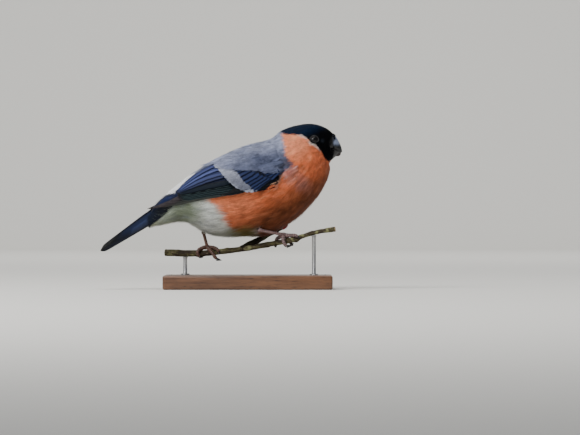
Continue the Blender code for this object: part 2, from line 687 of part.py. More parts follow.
def build_leg(side, heel, foot, thigh_top, grown_torso, model, finishes):
    """A bare shank and, above its heel, the feathered thigh cut to the torso's surface."""
    heel = Vector(heel) * MM
    foot = Vector(foot) * MM
    down = (foot - heel).normalized()
    start = heel + down * 0.4 * MM
    end = foot - down * (FOOT_RADIUS + GAP + 0.15 * MM)
    points = [start + (end - start) * share for share in (0.0, 0.08, 0.3, 0.65, 0.92, 1.0)]
    radii = (HEEL_RADIUS * 0.7, HEEL_RADIUS, TARSUS_RADIUS * 1.05, TARSUS_RADIUS, TARSUS_RADIUS * 1.2,
             TARSUS_RADIUS)
    shank = tube("tarsus_" + side, points, radii, model)
    shank.data.materials.append(finishes["leg"])
    top = Vector(thigh_top) * MM
    thigh_end = heel + (top - heel).normalized() * 1.3 * MM
    spine = [top + (thigh_end - top) * share for share in (0.0, 0.3, 0.6, 0.85, 1.0)]
    thigh = tube("thigh_" + side, spine, [radius * MM for radius in THIGH_RADII_MM], model)
    thigh.data.materials.append(finishes["vent"])
    cut_with(thigh, grown_torso, "Torso")


def build_stand(model, finishes):
    """A plain flat base and two short rods up to the twig."""
    bpy.ops.mesh.primitive_cube_add(size=1.0, location=(0.0, 0.0, BASE_HEIGHT / 2))
    base = bpy.context.active_object
    base.name = "stand_base"
    for vertex in base.data.vertices:
        vertex.co = (vertex.co.x * BASE_LENGTH, vertex.co.y * BASE_WIDTH, vertex.co.z * BASE_HEIGHT)
    base.data.materials.append(finishes["base"])
    bevel = base.modifiers.new("Soft edges", "BEVEL")
    bevel.width = BASE_BEVEL
    bevel.segments = 3
    for owner in base.users_collection:
        owner.objects.unlink(base)
    model.objects.link(base)
    for name, x in ROD_X_MM.items():
        centre, radius = twig_centre(x)
        top = (centre.z - radius) * MM - GAP - 0.2 * MM
        bottom = BASE_HEIGHT + GAP
        bpy.ops.mesh.primitive_cylinder_add(vertices=24, radius=ROD_RADIUS, depth=top - bottom,
                                            location=(x * MM, centre.y * MM, (top + bottom) / 2))
        rod = bpy.context.active_object
        rod.name = "stand_rod_" + name
        rod.data.materials.append(finishes["rod"])
        for owner in rod.users_collection:
            owner.objects.unlink(rod)
        model.objects.link(rod)


def build_finishes():
    """One plain material for each kind of surface."""
    return {
        "torso": material("orange breast", (0.56, 0.15, 0.05), 0.8),
        "neck": material("grey nape", (0.27, 0.28, 0.35), 0.8),
        "head": material("black cap", (0.005, 0.008, 0.016), 0.45),
        "wing": material("blue-black quills", (0.012, 0.018, 0.045), 0.4),
        "tail": material("glossy blue-black tail", (0.01, 0.016, 0.05), 0.35),
        "vent": material("off-white vent", (0.62, 0.62, 0.56), 0.85),
        "bill": material("slate horn", (0.03, 0.035, 0.045), 0.3),
        "eye": material("dark eye", (0.004, 0.003, 0.003), 0.05),
        "leg": material("pinkish-grey skin", (0.26, 0.15, 0.13), 0.55),
        "bark": material("olive bark", (0.16, 0.14, 0.09), 0.85),
        "bud": material("red bud", (0.35, 0.02, 0.015), 0.5),
        "base": material("dark waxed wood", (0.10, 0.05, 0.025), 0.45),
        "rod": material("brushed steel rod", (0.55, 0.55, 0.57), 0.35, 1.0),
    }


def main():
    """Build every sub-part in its place."""
    clear_scene()
    model = new_collection("bullfinch")
    cutters = new_collection("cutters")
    finishes = build_finishes()
    guide = Guide(body_rings())
    parted = build_body(model, finishes)
    build_eyes(parted["head"], guide, model, cutters, finishes)
    build_mouth(parted["head"], cutters)
    build_bill(model, cutters, finishes)
    build_wings(guide, model, finishes)
    build_tail(model, finishes)
    build_twig(model, finishes)
    grown_torso = mesh_object("grown torso", loft_bmesh(body_rings(GAP)), cutters)
    build_leg("r", RIGHT_HEEL_MM, RIGHT_FOOT_MM, RIGHT_THIGH_TOP_MM, grown_torso, model, finishes)
    build_leg("l", LEFT_HEEL_MM, LEFT_FOOT_MM, LEFT_THIGH_TOP_MM, grown_torso, model, finishes)
    build_foot("foot_r", RIGHT_FOOT_MM, RIGHT_TOES, model, finishes)
    build_foot("foot_l", LEFT_FOOT_MM, LEFT_TOES, model, finishes)
    build_stand(model, finishes)


main()
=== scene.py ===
"""Looks of a cock bullfinch display model: skin, plumage, wings, tail, bill, eyes, legs, perch and stand.

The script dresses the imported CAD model, its frame. Places are in the frame's metres: +X is the way
the bird looks, -Y its right side, z = 0 the underside of the stand. Sizes are millimetres times MM,
and names that end in _MM hold plain millimetres, mostly (x, z) places in the side view.
"""

from __future__ import annotations

import json
import logging
import math
from collections.abc import Callable, Sequence
from dataclasses import dataclass, field, replace
from enum import Enum
from itertools import product

import bpy
import numpy as np
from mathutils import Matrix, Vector
from mathutils.bvhtree import BVHTree

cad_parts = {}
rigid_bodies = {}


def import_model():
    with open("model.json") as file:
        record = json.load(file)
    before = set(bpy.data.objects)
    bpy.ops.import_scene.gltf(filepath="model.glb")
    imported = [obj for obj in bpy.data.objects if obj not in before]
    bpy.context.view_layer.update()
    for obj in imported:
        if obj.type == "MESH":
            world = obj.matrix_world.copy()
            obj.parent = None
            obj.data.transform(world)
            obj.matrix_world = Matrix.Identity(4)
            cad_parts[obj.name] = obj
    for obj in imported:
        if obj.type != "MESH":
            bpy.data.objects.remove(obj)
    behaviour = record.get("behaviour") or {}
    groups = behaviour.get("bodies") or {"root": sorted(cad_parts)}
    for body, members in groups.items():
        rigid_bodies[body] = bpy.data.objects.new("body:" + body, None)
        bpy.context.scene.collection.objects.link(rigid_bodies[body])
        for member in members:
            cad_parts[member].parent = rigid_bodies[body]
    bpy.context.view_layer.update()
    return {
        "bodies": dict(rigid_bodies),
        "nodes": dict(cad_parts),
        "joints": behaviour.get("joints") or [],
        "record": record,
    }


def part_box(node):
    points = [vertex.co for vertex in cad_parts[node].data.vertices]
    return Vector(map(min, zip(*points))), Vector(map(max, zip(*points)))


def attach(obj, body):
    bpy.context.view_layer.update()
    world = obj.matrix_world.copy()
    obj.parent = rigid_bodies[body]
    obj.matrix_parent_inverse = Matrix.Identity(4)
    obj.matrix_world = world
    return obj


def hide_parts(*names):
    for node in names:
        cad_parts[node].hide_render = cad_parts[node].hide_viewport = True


LOG = logging.getLogger("bullfinch")
MM = 0.001
ROOT_BODY = "root"
COAT_LIMIT = 190000

Array = np.ndarray
Colour = tuple[float, float, float]
Spot = tuple[float, float]


class Side(Enum):
    """The two sides of the bird, by the sign of Y."""

    RIGHT = -1
    LEFT = 1

    @property
    def letter(self) -> str:
        """The letter that the CAD nodes of this side end in."""
        return "r" if self is Side.RIGHT else "l"


class Plumage(Enum):
    """Kinds of body plumage, by the record's material slot."""

    ORANGE = "orange_plumage"
    WHITE = "white_plumage"
    GREY = "grey_plumage"
    GLOSS = "tail_feathers"
    CAP = "black_plumage"


def srgb(red: float, green: float, blue: float) -> Colour:
    """Turn a screen colour into a linear one.

    Args:
        red: Red from 0 to 255.
        green: Green from 0 to 255.
        blue: Blue from 0 to 255.

    Returns:
        The linear colour.
    """
    shares = [value / 255.0 for value in (red, green, blue)]
    return tuple(share / 12.92 if share <= 0.04045 else ((share + 0.055) / 1.055) ** 2.4 for share in shares)


def smooth_step(value: Array, start: float, end: float) -> Array:
    """Ease from 0 at start to 1 at end.

    Args:
        value: Numbers to ease.
        start: Where the result leaves 0.
        end: Where the result reaches 1.

    Returns:
        An array of shares from 0 to 1.
    """
    share = np.clip((np.asarray(value, dtype=float) - start) / (end - start), 0.0, 1.0)
    return share * share * (3.0 - 2.0 * share)


def blend(first: Array, second: Array, share: Array) -> Array:
    """Mix two sets of rows by a share for each row.

    Args:
        first: Rows where the share is 0.
        second: Rows where the share is 1.
        share: One number a row.

    Returns:
        The mixed rows.
    """
    share = np.asarray(share)[:, None]
    return np.asarray(first) * (1.0 - share) + np.asarray(second) * share


def unit(vectors: Array) -> Array:
    """Scale vectors to a length of one.

    Args:
        vectors: Vectors along the last axis.

    Returns:
        The unit vectors.
    """
    return vectors / np.maximum(np.linalg.norm(vectors, axis=-1, keepdims=True), 1e-12)


def smooth_rows(rows: Sequence[Sequence[float]], per_span: int) -> Array:
    """Put rows on a Catmull-Rom curve through the given rows.

    Args:
        rows: Rows of numbers, which the curve keeps.
        per_span: How many rows each span between two given rows gets.

    Returns:
        The rows of the curve.
    """
    rows = np.asarray(rows, dtype=float)
    ends = np.vstack([2 * rows[0] - rows[1], rows, 2 * rows[-1] - rows[-2]])
    curve = []
    for index in range(1, len(ends) - 2):
        before, start, end, after = ends[index - 1:index + 3]
        for step in range(per_span):
            t = step / per_span
            curve.append(0.5 * (2 * start + (end - before) * t
                                + (2 * before - 5 * start + 4 * end - after) * t ** 2
                                + (3 * start - before - 3 * end + after) * t ** 3))
    curve.append(rows[-1])
    return np.array(curve)


def lumps(points: Array, size: float, seed: int) -> Array:
    """Give smooth random numbers in space.

    Args:
        points: Places, one a row.
        size: Distance between lumps, in the unit of the places.
        seed: Which pattern to give.

    Returns:
        A number from 0 to 1 for each place.
    """
    scaled = np.atleast_2d(points) / size
    cell = np.floor(scaled).astype(np.int64)
    local = scaled - cell
    local = local * local * (3.0 - 2.0 * local)
    total = np.zeros(len(scaled))
    for corner in product((0, 1), repeat=scaled.shape[1]):
        key = cell + np.array(corner)
        mixed = np.full(len(scaled), seed * 374761393, dtype=np.int64)
        for axis, prime in zip(range(key.shape[1]), (73856093, 19349663, 83492791)):
            mixed ^= key[:, axis] * prime
        mixed = (mixed & 0x7FFFFFFF) * 1274126177 & 0x7FFFFFFF
        mixed = (mixed ^ (mixed >> 13)) * 668265263 & 0x7FFFFFFF
        value = ((mixed >> 8) & 0xFFFF) / 65535.0
        weight = np.prod(np.where(np.array(corner), local, 1.0 - local), axis=1)
        total += value * weight
    return total


def deselect_all() -> None:
    """Leave object mode with nothing selected."""
    if bpy.context.object is not None and bpy.context.object.mode != "OBJECT":
        bpy.ops.object.mode_set(mode="OBJECT")
    bpy.ops.object.select_all(action="DESELECT")


def select_only(piece: bpy.types.Object) -> None:
    """Select one object and make it active.

    Args:
        piece: The object.
    """
    deselect_all()
    piece.select_set(True)
    bpy.context.view_layer.objects.active = piece


def mesh_piece(name: str, vertices: Array, triangles: Array) -> bpy.types.Object:
    """Make a smooth-shaded object from arrays.

    Args:
        name: The object's name.
        vertices: Places in metres, one a row.
        triangles: Three vertex numbers a row.

    Returns:
        The new object, in the scene.
    """
    mesh = bpy.data.meshes.new(name)
    mesh.vertices.add(len(vertices))
    mesh.vertices.foreach_set("co", np.ascontiguousarray(vertices, dtype=np.float32).ravel())
    mesh.loops.add(triangles.size)
    mesh.loops.foreach_set("vertex_index", np.ascontiguousarray(triangles, dtype=np.int32).ravel())
    mesh.polygons.add(len(triangles))
    mesh.polygons.foreach_set("loop_start", np.arange(0, triangles.size, 3, dtype=np.int32))
    mesh.polygons.foreach_set("use_smooth", np.ones(len(triangles), dtype=bool))
    mesh.update(calc_edges=True)
    mesh.validate()
    piece = bpy.data.objects.new(name, mesh)
    bpy.context.scene.collection.objects.link(piece)
    return piece


def paint(piece: bpy.types.Object, colours: Array) -> None:
    """Store a colour at each vertex, in the attribute that the finishes read.

    Args:
        piece: The object to paint.
        colours: Linear colours, one a row.
    """
    layer = piece.data.color_attributes.new("Tint", "FLOAT_COLOR", "POINT")
    values = np.ones((len(colours), 4), dtype=np.float32)
    values[:, :3] = np.clip(colours, 0.0, 1.0)
    layer.data.foreach_set("color", values.ravel())


def map_piece(piece: bpy.types.Object, name: str, places: Array) -> None:
    """Give a piece a UV map from one place a vertex.

    Args:
        piece: The object to map.
        name: The map's name.
        places: A (u, v) row for each vertex.
    """
    layer = piece.data.uv_layers.new(name=name)
    corners = np.zeros(len(piece.data.loops), dtype=np.int32)
    piece.data.loops.foreach_get("vertex_index", corners)
    layer.data.foreach_set("uv", places[corners].astype(np.float32).ravel())


def vertices_of(piece: bpy.types.Object) -> Array:
    """Read a piece's vertex places.

    Args:
        piece: The object to read.

    Returns:
        The places, one a row.
    """
    places = np.zeros(len(piece.data.vertices) * 3, dtype=np.float32)
    piece.data.vertices.foreach_get("co", places)
    return places.reshape(-1, 3).astype(float)


def normals_of(piece: bpy.types.Object) -> Array:
    """Read a piece's vertex normals.

    Args:
        piece: The object to read.

    Returns:
        The normals, one a row.
    """
    values = np.zeros(len(piece.data.vertices) * 3, dtype=np.float32)
    piece.data.vertex_normals.foreach_get("vector", values)
    return values.reshape(-1, 3).astype(float)


def place_vertices(piece: bpy.types.Object, places: Array) -> None:
    """Move a piece's vertices.

    Args:
        piece: The object to change.
        places: The new places, one a row.
    """
    piece.data.vertices.foreach_set("co", places.astype(np.float32).ravel())
    piece.data.update()


def copy_of_nodes(frame: dict, names: Sequence[str], name: str, swell: float) -> bpy.types.Object:
    """Copy CAD nodes into one merged and slightly swollen mesh.

    Args:
        frame: The loaded frame.
        names: The nodes to copy.
        name: The new object's name.
        swell: How far every copy grows along its normals.

    Returns:
        The joined copy.
    """
    copies = []
    for node_name in names:
        copied = bpy.data.objects.new(name, frame["nodes"][node_name].data.copy())
        copied.data.materials.clear()
        bpy.context.scene.collection.objects.link(copied)
        select_only(copied)
        bpy.ops.object.mode_set(mode="EDIT")
        bpy.ops.mesh.select_all(action="SELECT")
        bpy.ops.mesh.remove_doubles(threshold=1e-6)
        bpy.ops.object.mode_set(mode="OBJECT")
        place_vertices(copied, vertices_of(copied) + normals_of(copied) * swell)
        copies.append(copied)
    deselect_all()
    for copied in copies:
        copied.select_set(True)
    bpy.context.view_layer.objects.active = copies[0]
    if len(copies) > 1:
        bpy.ops.object.join()
    return copies[0]


def remesh(piece: bpy.types.Object, voxel: float, smoothing: int) -> None:
    """Rebuild a mesh as even small faces and smooth it.

    Args:
        piece: The object to rebuild.
        voxel: Size of the new faces.
        smoothing: How many rounds of smoothing follow.
    """
    select_only(piece)
    rebuilt = piece.modifiers.new("Even faces", "REMESH")
    rebuilt.mode = "VOXEL"
    rebuilt.voxel_size = voxel
    rebuilt.use_smooth_shade = True
    bpy.ops.object.modifier_apply(modifier=rebuilt.name)
    softened = piece.modifiers.new("Soften", "SMOOTH")
    softened.factor = 0.5
    softened.iterations = smoothing
    bpy.ops.object.modifier_apply(modifier=softened.name)
    bpy.ops.object.shade_smooth()


def settle(piece: bpy.types.Object, finish: bpy.types.Material | None = None,
           replaced: Sequence[str] = ()) -> bpy.types.Object:
    """Dress a finished piece and hand it to the frame.

    Args:
        piece: The finished object.
        finish: The material to give it, if it has none yet.
        replaced: CAD nodes that it stands for.

    Returns:
        The same object.
    """
    if finish is not None:
        piece.data.materials.clear()
        piece.data.materials.append(finish)
    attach(piece, ROOT_BODY)
    if replaced:
        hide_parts(*replaced)
    LOG.info("%s: %d faces", piece.name, len(piece.data.polygons))
    return piece


class ShaderRecipe:
    """One Principled material in the making, with a short call for each kind of node."""

    def __init__(self, name: str) -> None:
        """Start a material.

        Args:
            name: The material's name.
        """
        self.material = bpy.data.materials.new(name)
        self.material.use_nodes = True
        self.nodes = self.material.node_tree.nodes
        self.links = self.material.node_tree.links
        self.shader = self.nodes["Principled BSDF"]

    def feed(self, socket: bpy.types.NodeSocket, value: object) -> None:
        """Link or set one input.

        Args:
            socket: The input.
            value: An output socket to link, or a plain value to set.
        """
        if isinstance(value, bpy.types.NodeSocket):
            self.links.new(value, socket)
        else:
            socket.default_value = value

    def places(self, source: str = "Object", stretch: Sequence[float] = (1.0, 1.0, 1.0)) -> bpy.types.NodeSocket:
        """Give texture places.

        Args:
            source: Object, or the name of a UV map.
            stretch: How many times finer the pattern is along each axis.

        Returns:
            The stretched places.
        """
        if source == "Object":
            start = self.nodes.new("ShaderNodeTexCoord").outputs["Object"]
        else:
            named = self.nodes.new("ShaderNodeUVMap")
            named.uv_map = source
            start = named.outputs["UV"]
        mapping = self.nodes.new("ShaderNodeMapping")
        mapping.inputs["Scale"].default_value = stretch
        self.links.new(start, mapping.inputs["Vector"])
        return mapping.outputs["Vector"]

    def noise(self, places: bpy.types.NodeSocket, scale: float, detail: float = 3.0) -> bpy.types.NodeSocket:
        """Give cloudy noise from 0 to 1.

        Args:
            places: Where to read it.
            scale: Lumps in a metre, or in the unit of the places.
            detail: How many finer layers it has.

        Returns:
            The noise.
        """
        node = self.nodes.new("ShaderNodeTexNoise")
        self.links.new(places, node.inputs["Vector"])
        node.inputs["Scale"].default_value = scale
        node.inputs["Detail"].default_value = detail
        return node.outputs["Fac"]

    def cells(self, places: bpy.types.NodeSocket, scale: float) -> bpy.types.NodeSocket:
        """Give the distance to the nearest of many scattered points.

        Args:
            places: Where to read it.
            scale: Points in a metre, or in the unit of the places.

        Returns:
            The distance.
        """
        node = self.nodes.new("ShaderNodeTexVoronoi")
        self.links.new(places, node.inputs["Vector"])
        node.inputs["Scale"].default_value = scale
        return node.outputs["Distance"]

    def bands(self, places: bpy.types.NodeSocket, scale: float, bend: float, rings: bool = False) -> bpy.types.NodeSocket:
        """Give even bands along X, or rings about the middle.

        Args:
            places: Where to read them.
            scale: How close they lie.
            bend: How much they wander.
            rings: Whether they are rings.

        Returns:
            The bands, from 0 to 1.
        """
        node = self.nodes.new("ShaderNodeTexWave")
        node.wave_type = "RINGS" if rings else "BANDS"
        if rings:
            node.rings_direction = "X"
        self.links.new(places, node.inputs["Vector"])
        node.inputs["Scale"].default_value = scale
        node.inputs["Distortion"].default_value = bend
        node.inputs["Detail"].default_value = 2.0
        return node.outputs["Fac"]

    def attribute(self, name: str) -> bpy.types.NodeSocket:
        """Read a colour attribute of the mesh.

        Args:
            name: The attribute's name.

        Returns:
            Its colour.
        """
        node = self.nodes.new("ShaderNodeAttribute")
        node.attribute_name = name
        return node.outputs["Color"]

    def spread(self, value: bpy.types.NodeSocket, low: float, high: float, start: float = 0.0,
               end: float = 1.0) -> bpy.types.NodeSocket:
        """Stretch numbers from one range onto another.

        Args:
            value: The numbers.
            low: The result at start.
            high: The result at end.
            start: Where the old range starts.
            end: Where the old range ends.

        Returns:
            The stretched numbers.
        """
        node = self.nodes.new("ShaderNodeMapRange")
        self.links.new(value, node.inputs["Value"])
        for label, number in (("From Min", start), ("From Max", end), ("To Min", low), ("To Max", high)):
            node.inputs[label].default_value = number
        return node.outputs["Result"]

    def math(self, operation: str, first: object, second: object) -> bpy.types.NodeSocket:
        """Join two numbers.

        Args:
            operation: Blender's name for the operation.
            first: A socket or a number.
            second: A socket or a number.

        Returns:
            The result.
        """
        node = self.nodes.new("ShaderNodeMath")
        node.operation = operation
        self.feed(node.inputs[0], first)
        self.feed(node.inputs[1], second)
        return node.outputs[0]

    def mix(self, share: object, first: object, second: object, how: str = "MIX") -> bpy.types.NodeSocket:
        """Mix two colours.

        Args:
            share: How much of the second, a socket or a number.
            first: A socket or a colour.
            second: A socket or a colour.
            how: Blender's name for the way of mixing.

        Returns:
            The mixed colour.
        """
        node = self.nodes.new("ShaderNodeMix")
        node.data_type = "RGBA"
        node.blend_type = how
        self.feed(node.inputs[0], share)
        for index, value in ((6, first), (7, second)):
            self.feed(node.inputs[index], (*value, 1.0) if isinstance(value, tuple) else value)
        return node.outputs[2]

    def grey(self, value: bpy.types.NodeSocket) -> bpy.types.NodeSocket:
        """Turn a number into a grey colour.

        Args:
            value: The number.

        Returns:
            A colour with that number in every channel.
        """
        node = self.nodes.new("ShaderNodeCombineColor")
        for channel in ("Red", "Green", "Blue"):
            self.links.new(value, node.inputs[channel])
        return node.outputs["Color"]

    def bump(self, height: bpy.types.NodeSocket, depth: float, strength: float = 1.0,
             under: bpy.types.NodeSocket | None = None) -> bpy.types.NodeSocket:
        """Raise the surface in the shading.

        Args:
            height: The height, from 0 to 1.
            depth: How high 1 stands, in metres.
            strength: How strongly it shows.
            under: A bump below this one.

        Returns:
            The bumped normal.
        """
        node = self.nodes.new("ShaderNodeBump")
        node.inputs["Distance"].default_value = depth
        node.inputs["Strength"].default_value = strength
        self.links.new(height, node.inputs["Height"])
        if under is not None:
            self.links.new(under, node.inputs["Normal"])
        return node.outputs["Normal"]

    def done(self, colour: object, roughness: object, normal: bpy.types.NodeSocket | None = None,
             **constants: float) -> bpy.types.Material:
        """Finish the material.

        Args:
            colour: The base colour, a socket or a colour.
            roughness: The roughness, a socket or a number.
            normal: The bumped normal.
            constants: Plain values for other inputs, with _ for a space.

        Returns:
            The material.
        """
        self.feed(self.shader.inputs["Base Color"], (*colour, 1.0) if isinstance(colour, tuple) else colour)
        self.feed(self.shader.inputs["Roughness"], roughness)
        if normal is not None:
            self.links.new(normal, self.shader.inputs["Normal"])
        for label, value in constants.items():
            self.shader.inputs[label.replace("_", " ")].default_value = value
        return self.material


@dataclass(frozen=True)
class PlumageFinish:
    """Body feathers: the tint of each feather, faint mottling and a soft or sleek surface."""

    name: str
    roughness: float
    velvet: float
    gloss: float = 0.3
    mottle: float = 0.12

    def material(self) -> bpy.types.Material:
        """Build the material once.

        Returns:
            The material.
        """
        if self.name in bpy.data.materials:
            return bpy.data.materials[self.name]
        recipe = ShaderRecipe(self.name)
        places = recipe.places()
        tint = recipe.attribute("Tint")
        cloudy = recipe.noise(places, 420.0, 4.0)
        fine = recipe.noise(places, 2600.0, 2.0)
        shade = recipe.grey(recipe.spread(cloudy, 1.0 - self.mottle, 1.0 + self.mottle, 0.3, 0.7))
        colour = recipe.mix(1.0, tint, shade, "MULTIPLY")
        roughness = recipe.spread(fine, self.roughness - 0.08, self.roughness + 0.08, 0.3, 0.7)
        normal = recipe.bump(fine, 0.00005, 0.35)
        return recipe.done(colour, roughness, normal, Sheen_Weight=self.velvet, Sheen_Roughness=0.5,
                           Specular_IOR_Level=self.gloss)


@dataclass(frozen=True)
class QuillFinish:
    """Flight and covert feathers: tinted vanes with fine barb lines that lean off the shaft."""

    name: str
    roughness: float = 0.5
    gloss: float = 0.07
    barb_lines: float = 90.0
    lean: float = 26.0

    def material(self) -> bpy.types.Material:
        """Build the material once.

        Returns:
            The material.
        """
        if self.name in bpy.data.materials:
            return bpy.data.materials[self.name]
        recipe = ShaderRecipe(self.name)
        split = recipe.nodes.new("ShaderNodeSeparateXYZ")
        recipe.links.new(recipe.places("Vane"), split.inputs[0])
        across = recipe.math("ABSOLUTE", recipe.math("SUBTRACT", split.outputs["X"], 0.5), 0.0)
        run = recipe.math("SUBTRACT", recipe.math("MULTIPLY", split.outputs["Y"], self.barb_lines),
                          recipe.math("MULTIPLY", across, self.lean))
        lines = recipe.math("PINGPONG", run, 0.5)
        cloudy = recipe.noise(recipe.places(), 900.0, 3.0)
        streaks = recipe.math("ADD", recipe.math("MULTIPLY", lines, 0.5), recipe.math("MULTIPLY", cloudy, 0.6))
        tint = recipe.attribute("Tint")
        shade = recipe.grey(recipe.spread(streaks, 0.78, 1.22, 0.2, 0.75))
        colour = recipe.mix(1.0, tint, shade, "MULTIPLY")
        roughness = recipe.spread(cloudy, self.roughness - 0.08, self.roughness + 0.1, 0.3, 0.7)
        normal = recipe.bump(lines, 0.00004, 0.5)
        return recipe.done(colour, roughness, normal, Specular_IOR_Level=self.gloss)


@dataclass(frozen=True)
class HornFinish:
    """Bill and claws: tinted horn with faint lengthwise growth lines."""

    name: str
    roughness: float = 0.3
    stretch: tuple[float, float, float] = (0.35, 1.0, 1.6)

    def material(self) -> bpy.types.Material:
        """Build the material once.

        Returns:
            The material.
        """
        if self.name in bpy.data.materials:
            return bpy.data.materials[self.name]
        recipe = ShaderRecipe(self.name)
        places = recipe.places("Object", self.stretch)
        grain = recipe.noise(places, 1800.0, 4.0)
        scuffs = recipe.noise(recipe.places(), 700.0, 2.0)
        shade = recipe.grey(recipe.spread(grain, 0.8, 1.2, 0.3, 0.7))
        colour = recipe.mix(1.0, recipe.attribute("Tint"), shade, "MULTIPLY")
        roughness = recipe.spread(scuffs, self.roughness - 0.08, self.roughness + 0.14, 0.3, 0.7)
        return recipe.done(colour, roughness, recipe.bump(grain, 0.00006, 0.4), Coat_Weight=0.25,
                           Coat_Roughness=0.18)


@dataclass(frozen=True)
class EyeFinish:
    """The wet eye: a dark brown iris about a black pupil under a clear gloss."""

    name: str = "wet dark eye"

    def material(self) -> bpy.types.Material:
        """Build the material once.

        Returns:
            The material.
        """
        if self.name in bpy.data.materials:
            return bpy.data.materials[self.name]
        recipe = ShaderRecipe(self.name)
        rays = recipe.noise(recipe.places(), 2500.0, 3.0)
        shade = recipe.grey(recipe.spread(rays, 0.6, 1.4, 0.3, 0.7))
        colour = recipe.mix(1.0, recipe.attribute("Tint"), shade, "MULTIPLY")
        roughness = recipe.spread(rays, 0.05, 0.1, 0.3, 0.7)
        return recipe.done(colour, roughness, recipe.bump(rays, 0.00001, 0.2), Coat_Weight=1.0,
                           Coat_Roughness=0.03, Coat_IOR=1.35, Specular_IOR_Level=0.02)


@dataclass(frozen=True)
class ScaleFinish:
    """Bare skin of legs and lids: tinted scutes with fine pores."""

    name: str
    roughness: float = 0.5

    def material(self) -> bpy.types.Material:
        """Build the material once.

        Returns:
            The material.
        """
        if self.name in bpy.data.materials:
            return bpy.data.materials[self.name]
        recipe = ShaderRecipe(self.name)
        places = recipe.places()
        pores = recipe.cells(places, 3200.0)
        cloudy = recipe.noise(places, 800.0, 3.0)
        shade = recipe.grey(recipe.spread(cloudy, 0.75, 1.25, 0.3, 0.7))
        colour = recipe.mix(1.0, recipe.attribute("Tint"), shade, "MULTIPLY")
        roughness = recipe.spread(cloudy, self.roughness - 0.1, self.roughness + 0.12, 0.3, 0.7)
        return recipe.done(colour, roughness, recipe.bump(pores, 0.00006, 0.5), Subsurface_Weight=0.08,
                           Subsurface_Scale=0.001)


@dataclass(frozen=True)
class BarkFinish:
    """Olive-brown bark with dark cracks, grey-green lichen and pale breathing pores."""

    name: str = "olive bark with lichen"
    olive: Colour = field(default_factory=lambda: srgb(88, 82, 54))
    brown: Colour = field(default_factory=lambda: srgb(54, 44, 34))
    crack: Colour = field(default_factory=lambda: srgb(18, 15, 13))
    lichen: Colour = field(default_factory=lambda: srgb(132, 132, 92))
    pore: Colour = field(default_factory=lambda: srgb(126, 114, 92))

    def material(self) -> bpy.types.Material:
        """Build the material once.

        Returns:
            The material.
        """
        if self.name in bpy.data.materials:
            return bpy.data.materials[self.name]
        recipe = ShaderRecipe(self.name)
        along = recipe.places("Object", (0.35, 1.0, 1.0))
        even = recipe.places()
        cloud = recipe.noise(along, 420.0, 5.0)
        fine = recipe.noise(even, 1900.0, 4.0)
        patches = recipe.noise(even, 210.0, 4.0)
        pores = recipe.cells(along, 620.0)
        colour = recipe.mix(recipe.spread(cloud, 0.0, 1.0, 0.4, 0.6), self.brown, self.olive)
        colour = recipe.mix(recipe.spread(fine, 1.0, 0.0, 0.34, 0.46), colour, self.crack)
        colour = recipe.mix(recipe.spread(patches, 0.0, 0.85, 0.56, 0.64), colour, self.lichen)
        colour = recipe.mix(recipe.spread(pores, 0.8, 0.0, 0.12, 0.2), colour, self.pore)
        colour = recipe.mix(1.0, colour, recipe.attribute("Tint"), "MULTIPLY")
        roughness = recipe.spread(fine, 0.72, 0.95, 0.3, 0.7)
        low = recipe.bump(cloud, 0.0004, 0.7)
        return recipe.done(colour, roughness, recipe.bump(fine, 0.00022, 0.8, low), Specular_IOR_Level=0.25)


@dataclass(frozen=True)
class CutWoodFinish:
    """The pale cut ends of the twig, with growth rings and small rays."""

    name: str = "cut end of the twig"
    pale: Colour = field(default_factory=lambda: srgb(205, 182, 142))
    dark: Colour = field(default_factory=lambda: srgb(160, 128, 88))

    def material(self) -> bpy.types.Material:
        """Build the material once.

        Returns:
            The material.
        """
        if self.name in bpy.data.materials:
            return bpy.data.materials[self.name]
        recipe = ShaderRecipe(self.name)
        rays = recipe.noise(recipe.places("Object", (0.2, 1.0, 1.0)), 2400.0, 4.0)
        rings = recipe.cells(recipe.places("Object", (0.0, 1.0, 1.0)), 1400.0)
        share = recipe.math("ADD", recipe.math("MULTIPLY", rings, 0.6), recipe.math("MULTIPLY", rays, 0.5))
        colour = recipe.mix(recipe.spread(share, 0.0, 1.0, 0.25, 0.75), self.pale, self.dark)
        roughness = recipe.spread(rays, 0.7, 0.9, 0.3, 0.7)
        return recipe.done(colour, roughness, recipe.bump(share, 0.0001, 0.5))


@dataclass(frozen=True)
class BudFinish:
    """Waxy red bud scales, darker at their tips."""

    name: str = "waxy red bud scales"

    def material(self) -> bpy.types.Material:
        """Build the material once.

        Returns:
            The material.
        """
        if self.name in bpy.data.materials:
            return bpy.data.materials[self.name]
        recipe = ShaderRecipe(self.name)
        veins = recipe.noise(recipe.places("Object", (0.4, 1.6, 1.0)), 1800.0, 3.0)
        shade = recipe.grey(recipe.spread(veins, 0.6, 1.3, 0.3, 0.7))
        colour = recipe.mix(1.0, recipe.attribute("Tint"), shade, "MULTIPLY")
        roughness = recipe.spread(veins, 0.32, 0.5, 0.3, 0.7)
        return recipe.done(colour, roughness, recipe.bump(veins, 0.00008, 0.5), Coat_Weight=0.2)


